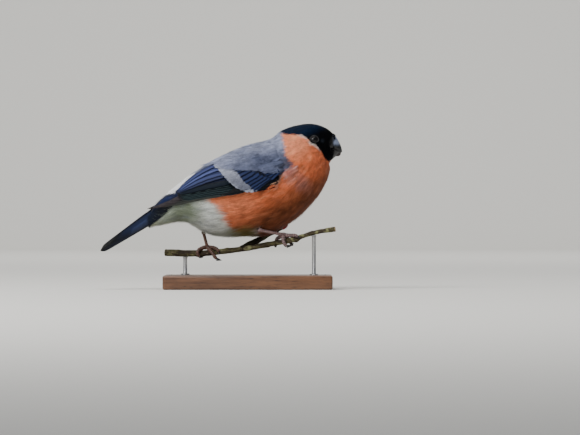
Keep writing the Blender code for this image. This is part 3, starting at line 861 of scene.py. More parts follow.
@dataclass(frozen=True)
class WalnutFinish:
    """The waxed walnut base: long grain, darker pores and a satin surface."""

    name: str = "waxed walnut"
    light: Colour = field(default_factory=lambda: srgb(118, 78, 50))
    dark: Colour = field(default_factory=lambda: srgb(62, 38, 25))
    pore: Colour = field(default_factory=lambda: srgb(32, 19, 13))

    def material(self) -> bpy.types.Material:
        """Build the material once.

        Returns:
            The material.
        """
        if self.name in bpy.data.materials:
            return bpy.data.materials[self.name]
        recipe = ShaderRecipe(self.name)
        slow = recipe.noise(recipe.places("Object", (0.12, 1.0, 1.0)), 130.0, 4.0)
        grain = recipe.noise(recipe.places("Object", (0.06, 1.0, 1.0)), 900.0, 5.0)
        pores = recipe.noise(recipe.places("Object", (0.08, 1.0, 1.0)), 2600.0, 2.0)
        share = recipe.math("ADD", recipe.math("MULTIPLY", slow, 0.6), recipe.math("MULTIPLY", grain, 0.4))
        colour = recipe.mix(recipe.spread(share, 0.0, 1.0, 0.38, 0.62), self.dark, self.light)
        colour = recipe.mix(recipe.spread(pores, 0.75, 0.0, 0.33, 0.42), colour, self.pore)
        roughness = recipe.spread(grain, 0.34, 0.5, 0.3, 0.7)
        low = recipe.bump(pores, 0.00008, 0.5)
        return recipe.done(colour, roughness, recipe.bump(grain, 0.00008, 0.35, low), Coat_Weight=0.15,
                           Coat_Roughness=0.3)


@dataclass(frozen=True)
class SteelFinish:
    """Brushed steel rods, the brush marks round the rod."""

    name: str = "brushed steel"

    def material(self) -> bpy.types.Material:
        """Build the material once.

        Returns:
            The material.
        """
        if self.name in bpy.data.materials:
            return bpy.data.materials[self.name]
        recipe = ShaderRecipe(self.name)
        marks = recipe.noise(recipe.places("Object", (0.05, 0.05, 1.0)), 9000.0, 3.0)
        wear = recipe.noise(recipe.places(), 300.0, 3.0)
        colour = recipe.mix(recipe.spread(wear, 0.0, 1.0, 0.3, 0.7), srgb(176, 176, 178), srgb(205, 204, 200))
        roughness = recipe.spread(marks, 0.24, 0.42, 0.3, 0.7)
        return recipe.done(colour, roughness, recipe.bump(marks, 0.00002, 0.5), Metallic=1.0)


@dataclass(frozen=True)
class PaperFinish:
    """The plain pale studio sweep."""

    name: str = "pale studio paper"
    tone: Colour = field(default_factory=lambda: srgb(216, 214, 208))

    def material(self) -> bpy.types.Material:
        """Build the material once.

        Returns:
            The material.
        """
        recipe = ShaderRecipe(self.name)
        tooth = recipe.noise(recipe.places(), 600.0, 3.0)
        shade = recipe.grey(recipe.spread(tooth, 0.985, 1.015, 0.3, 0.7))
        colour = recipe.mix(1.0, self.tone, shade, "MULTIPLY")
        return recipe.done(colour, recipe.spread(tooth, 0.85, 0.95, 0.3, 0.7), recipe.bump(tooth, 0.00005, 0.2))


@dataclass(frozen=True)
class BodyPlumageFinishes:
    """The finish of each kind of body plumage."""

    soft_orange: PlumageFinish = PlumageFinish("silky orange plumage", 0.78, 0.1, 0.15)
    soft_white: PlumageFinish = PlumageFinish("downy white plumage", 0.85, 0.15, 0.12, 0.06)
    soft_grey: PlumageFinish = PlumageFinish("soft grey plumage", 0.72, 0.1, 0.18)
    glossy: PlumageFinish = PlumageFinish("glossy blue-black covert plumage", 0.4, 0.0, 0.14)
    sleek: PlumageFinish = PlumageFinish("sleek black cap plumage", 0.5, 0.0, 0.035)

    def of(self, kind: Plumage) -> bpy.types.Material:
        """Choose the material of one kind of plumage.

        Args:
            kind: The kind.

        Returns:
            Its material.
        """
        chosen = {Plumage.ORANGE: self.soft_orange, Plumage.WHITE: self.soft_white, Plumage.GREY: self.soft_grey,
                  Plumage.GLOSS: self.glossy, Plumage.CAP: self.sleek}
        return chosen[kind].material()


@dataclass(frozen=True)
class LieSpot:
    """How feathers lie at one place of the side view: direction, length, width and lift."""

    x: float
    z: float
    heading: float
    length: float
    width: float
    lift: float = 9.0


@dataclass
class Lie:
    """The lie of the coat, blended between spots over the body."""

    spots: Sequence[LieSpot] = (
        LieSpot(49.0, 88.0, 122.0, 1.5, 0.8, 10.0),
        LieSpot(45.5, 91.0, 150.0, 2.0, 1.0, 8.0),
        LieSpot(37.0, 94.5, 176.0, 2.7, 1.2, 7.0),
        LieSpot(26.0, 93.0, 190.0, 3.4, 1.5, 7.0),
        LieSpot(18.0, 89.0, 206.0, 4.2, 2.0, 8.0),
        LieSpot(44.0, 84.5, 168.0, 1.2, 0.6, 9.0),
        LieSpot(38.0, 88.5, 178.0, 1.5, 0.8, 7.0),
        LieSpot(40.0, 81.0, 200.0, 1.5, 0.8, 8.0),
        LieSpot(46.5, 79.0, 215.0, 1.2, 0.6, 10.0),
        LieSpot(47.5, 74.0, 245.0, 1.8, 0.9, 11.0),
        LieSpot(33.0, 81.0, 203.0, 2.8, 1.3, 8.0),
        LieSpot(38.0, 75.0, 224.0, 3.2, 1.5, 8.0),
        LieSpot(26.0, 76.0, 216.0, 4.4, 2.0, 8.0),
        LieSpot(45.0, 66.0, 256.0, 4.4, 1.8, 9.0),
        LieSpot(43.0, 56.0, 250.0, 6.0, 2.1, 9.0),
        LieSpot(35.0, 46.0, 224.0, 7.0, 2.2, 9.0),
        LieSpot(28.0, 60.0, 231.0, 6.2, 2.1, 9.0),
        LieSpot(14.0, 72.0, 205.0, 5.5, 2.6, 8.0),
        LieSpot(0.0, 80.0, 201.0, 5.8, 2.8, 8.0),
        LieSpot(-18.0, 73.0, 209.0, 6.5, 3.0, 8.0),
        LieSpot(-36.0, 60.0, 218.0, 7.0, 2.6, 9.0),
        LieSpot(-50.0, 49.0, 214.0, 9.0, 2.6, 6.0),
        LieSpot(6.0, 50.0, 196.0, 7.5, 2.1, 8.0),
        LieSpot(12.0, 34.0, 189.0, 7.5, 2.1, 8.0),
        LieSpot(-8.0, 42.0, 187.0, 8.0, 2.2, 9.0),
        LieSpot(-20.0, 32.0, 172.0, 7.5, 2.1, 11.0),
        LieSpot(-32.0, 38.0, 172.0, 8.5, 2.2, 9.0),
        LieSpot(-46.0, 39.0, 188.0, 11.0, 2.4, 6.0),
    )
    sharpness: float = 3.2

    def at(self, points: Array) -> tuple[Array, Array, Array, Array]:
        """Give the lie at each place.

        Args:
            points: Places in metres, one a row.

        Returns:
            Directions in space, lengths and widths in metres, and lifts in radians.
        """
        table = np.array([(spot.x, spot.z, spot.heading, spot.length, spot.width, spot.lift) for spot in self.spots])
        away = np.hypot(points[:, :1] / MM - table[:, 0], points[:, 2:3] / MM - table[:, 1]) + 0.4
        weight = away ** -self.sharpness
        weight /= weight.sum(axis=1, keepdims=True)
        heading = np.radians(table[:, 2])
        ways = np.stack([np.cos(heading), np.zeros(len(table)), np.sin(heading)], axis=1)
        sizes = weight @ table[:, 3:]
        return unit(weight @ ways), sizes[:, 0] * MM, sizes[:, 1] * MM, np.radians(sizes[:, 2])


def on_grid(grid: Array, column: Array, row: Array) -> Array:
    """Read a grid between its places.

    Args:
        grid: The numbers.
        column: Places along the first axis, in cells.
        row: Places along the second axis, in cells.

    Returns:
        The numbers there, in a straight mix of the four nearest.
    """
    column = np.clip(column, 0.0, grid.shape[0] - 1.001)
    row = np.clip(row, 0.0, grid.shape[1] - 1.001)
    left, low = column.astype(int), row.astype(int)
    right_share, high_share = column - left, row - low
    under = grid[left, low] * (1 - right_share) + grid[left + 1, low] * right_share
    over = grid[left, low + 1] * (1 - right_share) + grid[left + 1, low + 1] * right_share
    return under * (1 - high_share) + over * high_share


class Flow:
    """Numbers that grow along and across the lie of the coat, so that streaks can follow it."""

    SIZE = 192
    CORNER = (-100.0, -40.0)
    EDGE = 24

    def __init__(self, lie: Lie) -> None:
        """Fit both numbers to the lie.

        Args:
            lie: The lie of the coat.
        """
        steps = np.arange(self.SIZE)
        x, z = np.meshgrid(self.CORNER[0] + steps, self.CORNER[1] + steps, indexing="ij")
        way = lie.at(np.stack([x.ravel(), np.zeros(x.size), z.ravel()], axis=1) * MM)[0]
        way_x, way_z = way[:, 0].reshape(x.shape), way[:, 2].reshape(x.shape)
        self.along = self.fitted(x, z, way_x, way_z)
        self.across = self.fitted(x, z, -way_z, way_x)

    def fitted(self, x: Array, z: Array, slope_x: Array, slope_z: Array) -> Array:
        """Find the numbers whose slopes come nearest to the wanted ones.

        Args:
            x: Places along X.
            z: Places along Z.
            slope_x: The wanted slope along X.
            slope_z: The wanted slope along Z.

        Returns:
            The numbers on the grid.
        """
        fade = np.minimum(np.arange(self.SIZE), np.arange(self.SIZE)[::-1])
        fade = smooth_step(fade, 0, self.EDGE)
        window = fade[:, None] * fade[None, :]
        mean_x, mean_z = slope_x.mean(), slope_z.mean()
        wave = 2.0 * math.pi * np.fft.fftfreq(self.SIZE)
        wave_x, wave_z = wave[:, None], wave[None, :]
        rest_x = np.fft.fft2((slope_x - mean_x) * window)
        rest_z = np.fft.fft2((slope_z - mean_z) * window)
        square = wave_x ** 2 + wave_z ** 2
        square[0, 0] = 1.0
        rest = np.real(np.fft.ifft2(-1j * (wave_x * rest_x + wave_z * rest_z) / square))
        return mean_x * x + mean_z * z + rest

    def streaks(self, points: Array, width: float, length: float, seed: int) -> Array:
        """Give random streaks that run with the coat.

        Args:
            points: Places in metres, one a row.
            width: Width of a streak in millimetres.
            length: Length of a streak in millimetres.
            seed: Which pattern to give.

        Returns:
            A number from 0 to 1 for each place.
        """
        column, row = points[:, 0] / MM - self.CORNER[0], points[:, 2] / MM - self.CORNER[1]
        along, across = on_grid(self.along, column, row), on_grid(self.across, column, row)
        return lumps(np.stack([across / width, 0.55 * points[:, 1] / MM / width, along / length], axis=1), 1.0, seed)


@dataclass
class Markings:
    """Where each kind of plumage lies, in the side view, and its colours."""

    flow: Flow
    cap_edge_mm: Sequence[Spot] = (
        (14.0, 99.0), (17.4, 92.0), (18.2, 89.8), (20.5, 88.4), (23.9, 87.6), (29.6, 87.7), (31.9, 87.2),
        (33.3, 86.2), (34.2, 84.8), (35.3, 83.3), (37.6, 82.3), (39.3, 81.3), (40.5, 79.8), (41.6, 78.4),
        (42.8, 76.4), (43.6, 74.4), (45.0, 73.2), (47.0, 72.4), (53.0, 71.6),
    )
    grey_edge_zx_mm: Sequence[Spot] = (
        (58.0, -60.0), (61.0, -2.0), (65.0, 19.0), (68.0, 22.5), (71.3, 25.7), (73.5, 23.9), (76.4, 22.2),
        (79.2, 21.7), (82.1, 21.1), (84.9, 20.5), (88.1, 20.0), (92.0, 20.0),
    )
    belly_edge_zx_mm: Sequence[Spot] = (
        (28.0, 8.0), (29.6, 5.0), (30.2, -1.7), (31.4, -3.0), (33.6, -5.8), (36.5, -10.3), (39.3, -12.0),
        (42.2, -12.5), (45.0, -14.8), (47.9, -16.0), (50.2, -20.0), (56.0, -24.0), (64.0, -30.0),
    )
    tail_side_mm: Sequence[Spot] = (
        (-57.0, 35.3), (-53.0, 38.2), (-50.2, 39.9), (-47.3, 42.2), (-44.5, 45.0), (-41.6, 47.9), (-38.0, 51.0),
    )
    rump_back_mm: float = -47.4
    rump_side_mm: float = 55.4
    salmon: Colour = field(default_factory=lambda: srgb(255, 161, 119))
    orange: Colour = field(default_factory=lambda: srgb(230, 121, 76))
    # This dark brown is painted shade on the belly.
    belly_shade_colour: Colour = field(default_factory=lambda: srgb(78, 44, 20))
    mauve: Colour = field(default_factory=lambda: srgb(158, 132, 134))
    cheek_rim: Colour = field(default_factory=lambda: srgb(255, 240, 228))
    white: Colour = field(default_factory=lambda: srgb(228, 232, 226))
    vent_shade: Colour = field(default_factory=lambda: srgb(114, 128, 96))
    # The olive tint is painted shade on the underside.
    olive: Colour = field(default_factory=lambda: srgb(116, 112, 60))
    rump: Colour = field(default_factory=lambda: srgb(252, 253, 255))
    grey: Colour = field(default_factory=lambda: srgb(151, 157, 181))
    shoulder: Colour = field(default_factory=lambda: srgb(84, 91, 118))
    brown: Colour = field(default_factory=lambda: srgb(92, 80, 86))
    gloss: Colour = field(default_factory=lambda: srgb(24, 35, 72))
    cap: Colour = field(default_factory=lambda: srgb(8, 25, 48))
    face: Colour = field(default_factory=lambda: srgb(8, 9, 13))
    lore: Colour = field(default_factory=lambda: srgb(46, 52, 60))

    def shares(self, points: Array) -> dict[Plumage, Array]:
        """Give how much of each kind of plumage shows at each place.

        Args:
            points: Places in metres, one a row.

        Returns:
            For each kind, a share from 0 to 1 for each place. They add up to 1.
        """
        x = points[:, 0] / MM
        z = points[:, 2] / MM
        cap_x, cap_z = np.array(self.cap_edge_mm).T
        grey_z, grey_x = np.array(self.grey_edge_zx_mm).T
        belly_z, belly_x = np.array(self.belly_edge_zx_mm).T
        tail_x, tail_z = np.array(self.tail_side_mm).T
        cap = smooth_step(z - np.interp(x, cap_x, cap_z), -0.2, 0.2) * smooth_step(x, 16.8, 17.6)
        grey = smooth_step(np.interp(z, grey_z, grey_x) - x, -0.8, 0.8) * smooth_step(x, -32.0, -30.0)
        white = smooth_step(np.interp(z, belly_z, belly_x) - x, -2.6, 2.6)
        white = np.maximum(white, smooth_step(-x, 30.0, 32.0))
        over_tail = smooth_step(z - np.interp(x, tail_x, tail_z), -0.4, 0.4) * smooth_step(-x, 33.0, 34.0)
        gloss = over_tail * np.maximum(smooth_step(-x, -self.rump_back_mm - 0.6, -self.rump_back_mm + 0.6),
                                       smooth_step(self.rump_side_mm + 0.33 * (x + 40.5) - z, -0.5, 0.5))
        grey = grey * (1.0 - cap)
        gloss = gloss * (1.0 - cap) * (1.0 - grey)
        white = white * (1.0 - cap - grey - gloss)
        orange = 1.0 - cap - grey - gloss - white
        return {Plumage.ORANGE: orange, Plumage.WHITE: white, Plumage.GREY: grey, Plumage.GLOSS: gloss,
                Plumage.CAP: cap}

    def near(self, x: Array, z: Array, centre: Spot, reach: float) -> Array:
        """Give a soft round patch.

        Args:
            x: Places along X in millimetres.
            z: Places along Z in millimetres.
            centre: The patch's middle.
            reach: Where the patch ends.

        Returns:
            1 in the middle, easing to 0 at the reach.
        """
        distance = np.hypot(x - centre[0], z - centre[1])
        return 1.0 - smooth_step(distance, 0.25 * reach, reach)

    def tints(self, points: Array) -> dict[Plumage, Array]:
        """Give the colour of each kind of plumage at each place, with painted light and shade in it.

        Args:
            points: Places in metres, one a row.

        Returns:
            For each kind, a linear colour for each place.
        """
        x = points[:, 0] / MM
        z = points[:, 2] / MM
        count = len(points)
        cloudy = lumps(points, 5.0 * MM, 11)
        streaky = self.flow.streaks(points, 0.7, 6.0, 12)
        flecks = self.flow.streaks(points, 0.8, 1.7, 13)

        def plain(colour: Colour) -> Array:
            """Repeat one colour for every place."""
            return np.tile(np.array(colour), (count, 1))

        orange = plain(self.orange)
        # Salmon over the cheek and neck side: painted light from above.
        orange = blend(orange, plain(self.salmon), 0.85 * self.near(x, z, (26.5, 82.5), 13.0))
        orange = blend(orange, plain(self.salmon), 0.4 * self.near(x, z, (-6.0, 50.0), 18.0))
        orange = blend(orange, plain(self.salmon), 0.5 * smooth_step(streaky, 0.5, 0.9))
        # Dark brown towards the belly and lower breast: painted shade under the body.
        painted_belly_shade = smooth_step(0.6 * (x - 10.0) + 62.0 - z, 7.0, 24.0)
        orange = blend(orange, plain(self.belly_shade_colour), painted_belly_shade * (0.94 - 0.24 * streaky))
        cap_x, cap_z = np.array(self.cap_edge_mm).T
        rim = 1.0 - smooth_step(np.interp(x, cap_x, cap_z) - z, 0.2, 1.5)
        rim = rim * smooth_step(x, 27.0, 32.0) * (1.0 - smooth_step(x, 39.5, 42.0))
        orange = blend(orange, plain(self.cheek_rim), rim)
        orange = blend(orange, plain(self.grey), 0.6 * self.near(x, z, (23.0, 68.0), 4.5) * streaky)
        band = 0.5 * self.near(x - 0.55 * (62.0 - z), z, (29.0, 62.0), 8.5) * (0.5 + 0.5 * streaky)
        orange = blend(orange, plain(self.mauve), band)
        # Dull olive at the bottom of the belly, by the legs: painted shade under the body.
        painted_underside_shade = 0.85 * smooth_step(36.6 - z + 1.5 * streaky, 0.0, 4.5) * smooth_step(x, -18.0, -10.0)
        orange = blend(orange, plain(self.olive), painted_underside_shade * (1.0 - smooth_step(x, 3.0, 9.0)))
        heel = 0.3 * self.near(x, z, (5.8, 33.6), 3.4) * (points[:, 1] < 0)
        orange = blend(orange, plain(self.white), heel)

        white = plain(self.white)
        white = blend(white, plain(self.vent_shade), 0.75 * smooth_step(33.0 - z + 4.0 * cloudy, 0.0, 5.0))
        white = blend(white, plain(self.vent_shade), 0.85 * self.near(x, z, (-35.0, 44.5), 15.0))
        white = blend(white, plain(self.vent_shade), 0.6 * self.near(x, z, (-48.0, 40.0), 12.0))
        # Dull olive by the legs and under the tail: painted shade under the body.
        white = blend(white, plain(self.olive), 0.8 * self.near(x, z, (-4.0, 30.5), 10.0))
        painted_underside_shade = smooth_step(40.0 - z + 1.5 * streaky, 0.0, 4.0) * smooth_step(-x, 34.0, 44.0)
        white = blend(white, plain(self.olive), 0.5 * painted_underside_shade)
        # Grey in the gaps between the white streaks: painted shade between the hairlike feathers.
        white = blend(white, plain(self.grey), 0.35 * smooth_step(0.5 - streaky, 0.0, 0.4))
        white = blend(white, plain(self.rump), smooth_step(z, 52.0, 54.5))

        grey = plain(self.grey)
        low = smooth_step(83.5 - z, 0.0, 10.0) * np.clip(0.66 + 0.041 * x, 0.0, 0.95)
        grey = blend(grey, plain(self.shoulder), low)
        grey = blend(grey, plain(self.shoulder), 0.6 * self.near(x, z, (-3.0, 68.0), 6.5))
        grey = blend(grey, plain(self.shoulder), 0.55 * self.near(x, z, (-24.0, 69.5), 9.0))
        grey = blend(grey, plain(self.brown), 0.6 * self.near(x, z, (22.5, 72.3), 3.8))
        grey = blend(grey, plain(self.shoulder), 0.6 * smooth_step(flecks, 0.5, 0.85))

        gloss = blend(plain(self.gloss), plain(self.face), 0.7 * smooth_step(51.0 - z, 0.0, 5.0))
        # Blue at the top of the cap, fading to the black face below: painted sheen on the crown.
        cap = blend(plain(self.cap), plain(self.face), smooth_step(90.0 - z + 0.4 * (x - 34.0), 0.0, 5.0))
        cap = blend(cap, plain(self.lore), 0.7 * self.near(x, z, (42.5, 84.4), 1.6))
        return {Plumage.ORANGE: orange, Plumage.WHITE: white, Plumage.GREY: grey, Plumage.GLOSS: gloss,
                Plumage.CAP: cap}

    def colour(self, points: Array) -> Array:
        """Give the plumage colour at each place.

        Args:
            points: Places in metres, one a row.

        Returns:
            Linear colours, one a row.
        """
        shares = self.shares(points)
        tints = self.tints(points)
        shade = 0.68 + 0.64 * self.flow.streaks(points, 0.55, 4.0, 14)
        return sum(tints[kind] * shares[kind][:, None] for kind in Plumage) * shade[:, None]


class SideMap:
    """How far a surface stands off the middle plane, on a grid in the side view."""

    STEP = 0.75 * MM
    LOW = (-78.0 * MM, 18.0 * MM)
    HIGH = (60.0 * MM, 102.0 * MM)

    def __init__(self, tree: BVHTree, side: Side, floor: float, soft: float, rounds: int) -> None:
        """Read a surface from one side.

        Args:
            tree: The surface.
            side: The side to look from.
            floor: The least distance given, as under a wing tip that stands off the body.
            soft: How softly the surface turns into the floor.
            rounds: How many times the grid is smoothed.
        """
        self.side = side.value
        self.xs = np.arange(self.LOW[0], self.HIGH[0], self.STEP)
        self.zs = np.arange(self.LOW[1], self.HIGH[1], self.STEP)
        grid = np.zeros((len(self.xs), len(self.zs)))
        way = Vector((0.0, -self.side, 0.0))
        for column, x in enumerate(self.xs):
            for row, z in enumerate(self.zs):
                hit = tree.ray_cast(Vector((x, self.side * 0.1, z)), way)[0]
                grid[column, row] = max(self.side * hit.y, 0.0) if hit is not None else 0.0
        if floor > 0.0:
            grid = (grid + floor + np.hypot(grid - floor, soft)) / 2.0
        for _ in range(rounds):
            padded = np.pad(grid, 1, mode="edge")
            grid = sum(padded[1 + dx:len(padded) - 1 + dx, 1 + dz:padded.shape[1] - 1 + dz] * weight
                       for dx, dz, weight in ((0, 0, 0.5), (1, 0, 0.125), (-1, 0, 0.125), (0, 1, 0.125),
                                              (0, -1, 0.125)))
        self.grid = grid

    def reach(self, x: Array, z: Array) -> Array:
        """Give the distance from the middle plane.

        Args:
            x: Places along X in metres.
            z: Places along Z in metres.

        Returns:
            The distances.
        """
        return on_grid(self.grid, (x - self.xs[0]) / self.STEP, (z - self.zs[0]) / self.STEP)

    def outward(self, x: Array, z: Array) -> Array:
        """Give the outward direction of the surface.

        Args:
            x: Places along X in metres.
            z: Places along Z in metres.

        Returns:
            Unit vectors, one a row.
        """
        slope_x = (self.reach(x + self.STEP, z) - self.reach(x - self.STEP, z)) / (2 * self.STEP)
        slope_z = (self.reach(x, z + self.STEP) - self.reach(x, z - self.STEP)) / (2 * self.STEP)
        return unit(np.stack([-slope_x, np.full_like(slope_x, self.side), -slope_z], axis=-1))

    def place(self, x: Array, z: Array, lift: Array) -> Array:
        """Give places lifted off the surface.

        Args:
            x: Places along X in metres.
            z: Places along Z in metres.
            lift: Distances off the surface.

        Returns:
            Places in space, one a row.
        """
        flat = np.stack([x, self.side * self.reach(x, z), z], axis=-1)
        return flat + self.outward(x, z) * np.asarray(lift)[..., None]


def vane_mesh(centre: Callable[[Array, Array], Array], rows: int, columns: int) -> tuple[Array, Array, Array]:
    """Skin both faces of one thin feather.

    Args:
        centre: Gives places for shares along, places across from -1 to 1 and a face, 1 outer or -1 inner.
        rows: Rows along the feather.
        columns: Columns across it.

    Returns:
        Vertices, triangles and the (across, along) place of every vertex, from 0 to 1.
    """
    share, across = np.meshgrid(np.linspace(0.0, 1.0, rows), np.linspace(-1.0, 1.0, columns), indexing="ij")
    share, across = share.ravel(), across.ravel()
    outer = centre(share, across, 1)
    inner = centre(share, across, -1)
    number = np.arange(rows * columns).reshape(rows, columns)
    low, high = number[:-1, :-1].ravel(), number[1:, 1:].ravel()
    beside, ahead = number[:-1, 1:].ravel(), number[1:, :-1].ravel()
    front = np.concatenate([np.stack([low, beside, high], 1), np.stack([low, high, ahead], 1)])
    back = front[:, ::-1] + rows * columns
    rim = np.concatenate([number[0, :], number[1:, -1], number[-1, -2::-1], number[-2:0:-1, 0]])
    following = np.roll(rim, -1)
    shift = rows * columns
    edge = np.concatenate([np.stack([rim, rim + shift, following], 1),
                           np.stack([following, rim + shift, following + shift], 1)])
    place = np.stack([(across + 1.0) / 2.0, share], axis=1)
    return np.vstack([outer, inner]), np.concatenate([front, back, edge]), np.vstack([place, place])


class FeatherHeap:
    """Gathers the meshes of many feathers into one piece."""

    def __init__(self) -> None:
        """Start empty."""
        self.vertices: list[Array] = []
        self.triangles: list[Array] = []
        self.colours: list[Array] = []
        self.maps: list[Array] = []
        self.count = 0

    def add(self, vertices: Array, triangles: Array, colours: Array, places: Array) -> None:
        """Add one mesh.

        Args:
            vertices: Its places.
            triangles: Its triangles.
            colours: A colour for each vertex.
            places: A (u, v) place for each vertex.
        """
        self.vertices.append(vertices)
        self.triangles.append(triangles + self.count)
        self.colours.append(colours)
        self.maps.append(places)
        self.count += len(vertices)

    def piece(self, name: str, map_name: str) -> bpy.types.Object:
        """Make the gathered piece.

        Args:
            name: Its name.
            map_name: The name of its UV map.

        Returns:
            The new object.
        """
        made = mesh_piece(name, np.vstack(self.vertices), np.vstack(self.triangles))
        paint(made, np.vstack(self.colours))
        map_piece(made, map_name, np.vstack(self.maps))
        return made


@dataclass(frozen=True)
class VaneTint:
    """Colours of one kind of wing or tail feather."""

    web: Colour
    edge: Colour
    fringe: Colour
    tip: Colour
    tip_start: float = 2.0
    edge_width: float = 0.35
    fringe_width: float = 0.08
    shaft: Colour = (0.002, 0.002, 0.003)

    def colours(self, place: Array, shade: float) -> Array:
        """Give the colour of each vertex of a feather.

        Args:
            place: (across, along) places from 0 to 1, the lower or outer edge at across 1.
            shade: How bright this feather is.

        Returns:
            Linear colours, one a row.
        """
        across, along = place[:, 0], place[:, 1]
        count = len(place)
        colour = np.tile(self.web, (count, 1))
        edge = smooth_step(across, 1.0 - self.edge_width - 0.15, 1.0 - self.edge_width + 0.1)
        colour = blend(colour, np.tile(self.edge, (count, 1)), edge)
        fringe = smooth_step(across, 1.0 - self.fringe_width, 1.0 - 0.3 * self.fringe_width)
        colour = blend(colour, np.tile(self.fringe, (count, 1)), fringe)
        shaft = 1.0 - smooth_step(np.abs(across - 0.5), 0.02, 0.07)
        colour = blend(colour, np.tile(self.shaft, (count, 1)), 0.7 * shaft)
        tip = smooth_step(along, self.tip_start - 0.03, self.tip_start + 0.03)
        colour = blend(colour, np.tile(self.tip, (count, 1)), tip)
        return colour * shade


@dataclass
class Quill:
    """One wing feather in the side view, in millimetres: its root, tip, width, lift and tint."""

    root: Spot
    tip: Spot
    half_width: float
    lift: float
    bow: float
    tint: VaneTint
    point: float = 0.25
    shade: float = 1.0
    skew: float = 0.0


@dataclass
class Wing:
    """One folded wing, feather by feather, on the side of the body."""

    side: Side
    reach_mm: float = 0.0
    tilt: float = 1.0 * MM
    thickness: float = 0.14 * MM
    camber: float = 0.22 * MM
    rows: int = 26
    columns: int = 11
    primary: VaneTint = field(default_factory=lambda: VaneTint(
        srgb(8, 9, 11), srgb(13, 16, 18), srgb(74, 77, 73), srgb(50, 45, 47), 0.84, 0.3, 0.13))
    secondary: VaneTint = field(default_factory=lambda: VaneTint(
        srgb(3, 5, 8), srgb(6, 17, 23), srgb(62, 78, 80), srgb(34, 34, 38), 0.95, 0.42, 0.06))
    dusky: VaneTint = field(default_factory=lambda: VaneTint(
        srgb(14, 20, 44), srgb(7, 17, 28), srgb(2, 3, 5), srgb(26, 30, 44), 0.96, 0.5, 0.1))
    tertial: VaneTint = field(default_factory=lambda: VaneTint(
        srgb(16, 20, 42), srgb(56, 64, 102), srgb(5, 7, 13), srgb(50, 54, 76), 0.96, 0.72, 0.16))
    strip: VaneTint = field(default_factory=lambda: VaneTint(
        srgb(6, 7, 10), srgb(9, 11, 16), srgb(24, 30, 36), srgb(12, 14, 18), 0.9, 0.4, 0.08))
    greater: VaneTint = field(default_factory=lambda: VaneTint(
        srgb(7, 10, 22), srgb(34, 44, 78), srgb(3, 4, 8), srgb(146, 150, 166), 0.5, 0.52, 0.16))
    lesser: VaneTint = field(default_factory=lambda: VaneTint(
        srgb(7, 10, 21), srgb(34, 45, 82), srgb(4, 5, 9), srgb(20, 28, 52), 0.9, 0.55, 0.16))

    def quills(self) -> list[Quill]:
        """List every feather from the outermost primary to the small coverts.

        Returns:
            The feathers, the lowest layer first.
        """
        listed = []
        tips = ((-54.7, 45.8), (-53.0, 46.2), (-50.6, 46.8), (-48.0, 47.6), (-45.4, 48.7), (-43.0, 50.2))
        for order, tip in enumerate(tips):
            reach = self.reach_mm if order < 2 else 0.0
            listed.append(Quill((1.0 - 1.0 * order, 56.2 + 0.4 * order), (tip[0] - reach, tip[1]), 1.8,
                                0.75 + 0.06 * order, 1.2, self.primary, 0.5))
        for order in range(6):
            listed.append(Quill((-3.0 - 1.0 * order, 56.2 + 1.1 * order), (-38.0 - 0.3 * order, 51.2 + 0.6 * order),
                                2.2, 1.1 + 0.05 * order, 1.0, self.secondary, 0.3))
        # Brighter and darker copies of the tertial tint: painted highlight and painted shade on single tertials.
        bright = replace(self.tertial, edge=tuple(1.7 * value for value in self.tertial.edge))
        dim = replace(self.tertial, edge=tuple(0.6 * value for value in self.tertial.edge))
        for root, tip, half_width, bow, skew, tint in (
                ((-7.0, 61.6), (-38.6, 54.0), 2.7, 1.0, 0.0, self.dusky),
                ((-9.0, 64.8), (-39.3, 54.1), 1.9, 1.3, 0.8, dim),
                ((-9.0, 66.2), (-39.6, 54.2), 1.9, 1.9, 1.0, self.tertial),
                ((-9.0, 68.6), (-39.7, 54.3), 1.7, 2.6, 2.0, bright),
                ((-9.0, 70.5), (-39.7, 54.4), 1.4, 3.2, 3.0, self.tertial)):
            listed.append(Quill(root, tip, half_width, 1.45 + 0.012 * (root[1] - 60.5), bow, tint, 0.45, skew=skew))
        for order in range(6):
            listed.append(Quill((9.5 - 1.4 * order, 59.4 + 0.6 * order), (-15.0 + 2.8 * order, 53.6 + 0.6 * order),
                                1.7, 1.5 + 0.04 * order, 0.3, self.strip, 0.4))
        for root, tip in (((16.5, 59.6), (0.5, 55.9)), ((18.0, 61.8), (2.5, 56.6)), ((18.6, 64.0), (4.5, 57.6))):
            listed.append(Quill(root, tip, 1.7, 1.75, 0.3, self.strip, 0.4))
        tips = ((3.0, 56.4), (0.4, 55.7), (-2.2, 55.9), (-4.6, 56.8), (-6.8, 58.0), (-8.8, 59.5), (-10.6, 61.2),
                (-12.4, 63.0), (-14.2, 65.0), (-16.0, 67.0), (-18.0, 69.0))
        pale = (1.2, 2.4, 3.6, 4.4, 5.4, 6.0, 6.5, 7.0, 7.5, 8.5, 8.5)
        for order, (tip, bar) in enumerate(zip(tips, pale)):
            slope = math.radians(36.0 - 1.5 * order)
            length = 18.0 - 0.3 * order
            root = (tip[0] + length * math.cos(slope), min(tip[1] + length * math.sin(slope), 70.0))
            tint = replace(self.greater, tip_start=1.0 - bar / length)
            listed.append(Quill(root, tip, 2.2, 1.95 + 0.02 * order, 0.3, tint, 0.15))
        for order in range(4):
            tip = (12.6 - 1.6 * order, 61.8 + 1.4 * order)
            listed.append(Quill((min(tip[0] + 7.5, 17.8), min(tip[1] + 5.0, 68.0)), tip, 1.5, 2.35, 0.2, self.lesser, 0.3))
        return listed

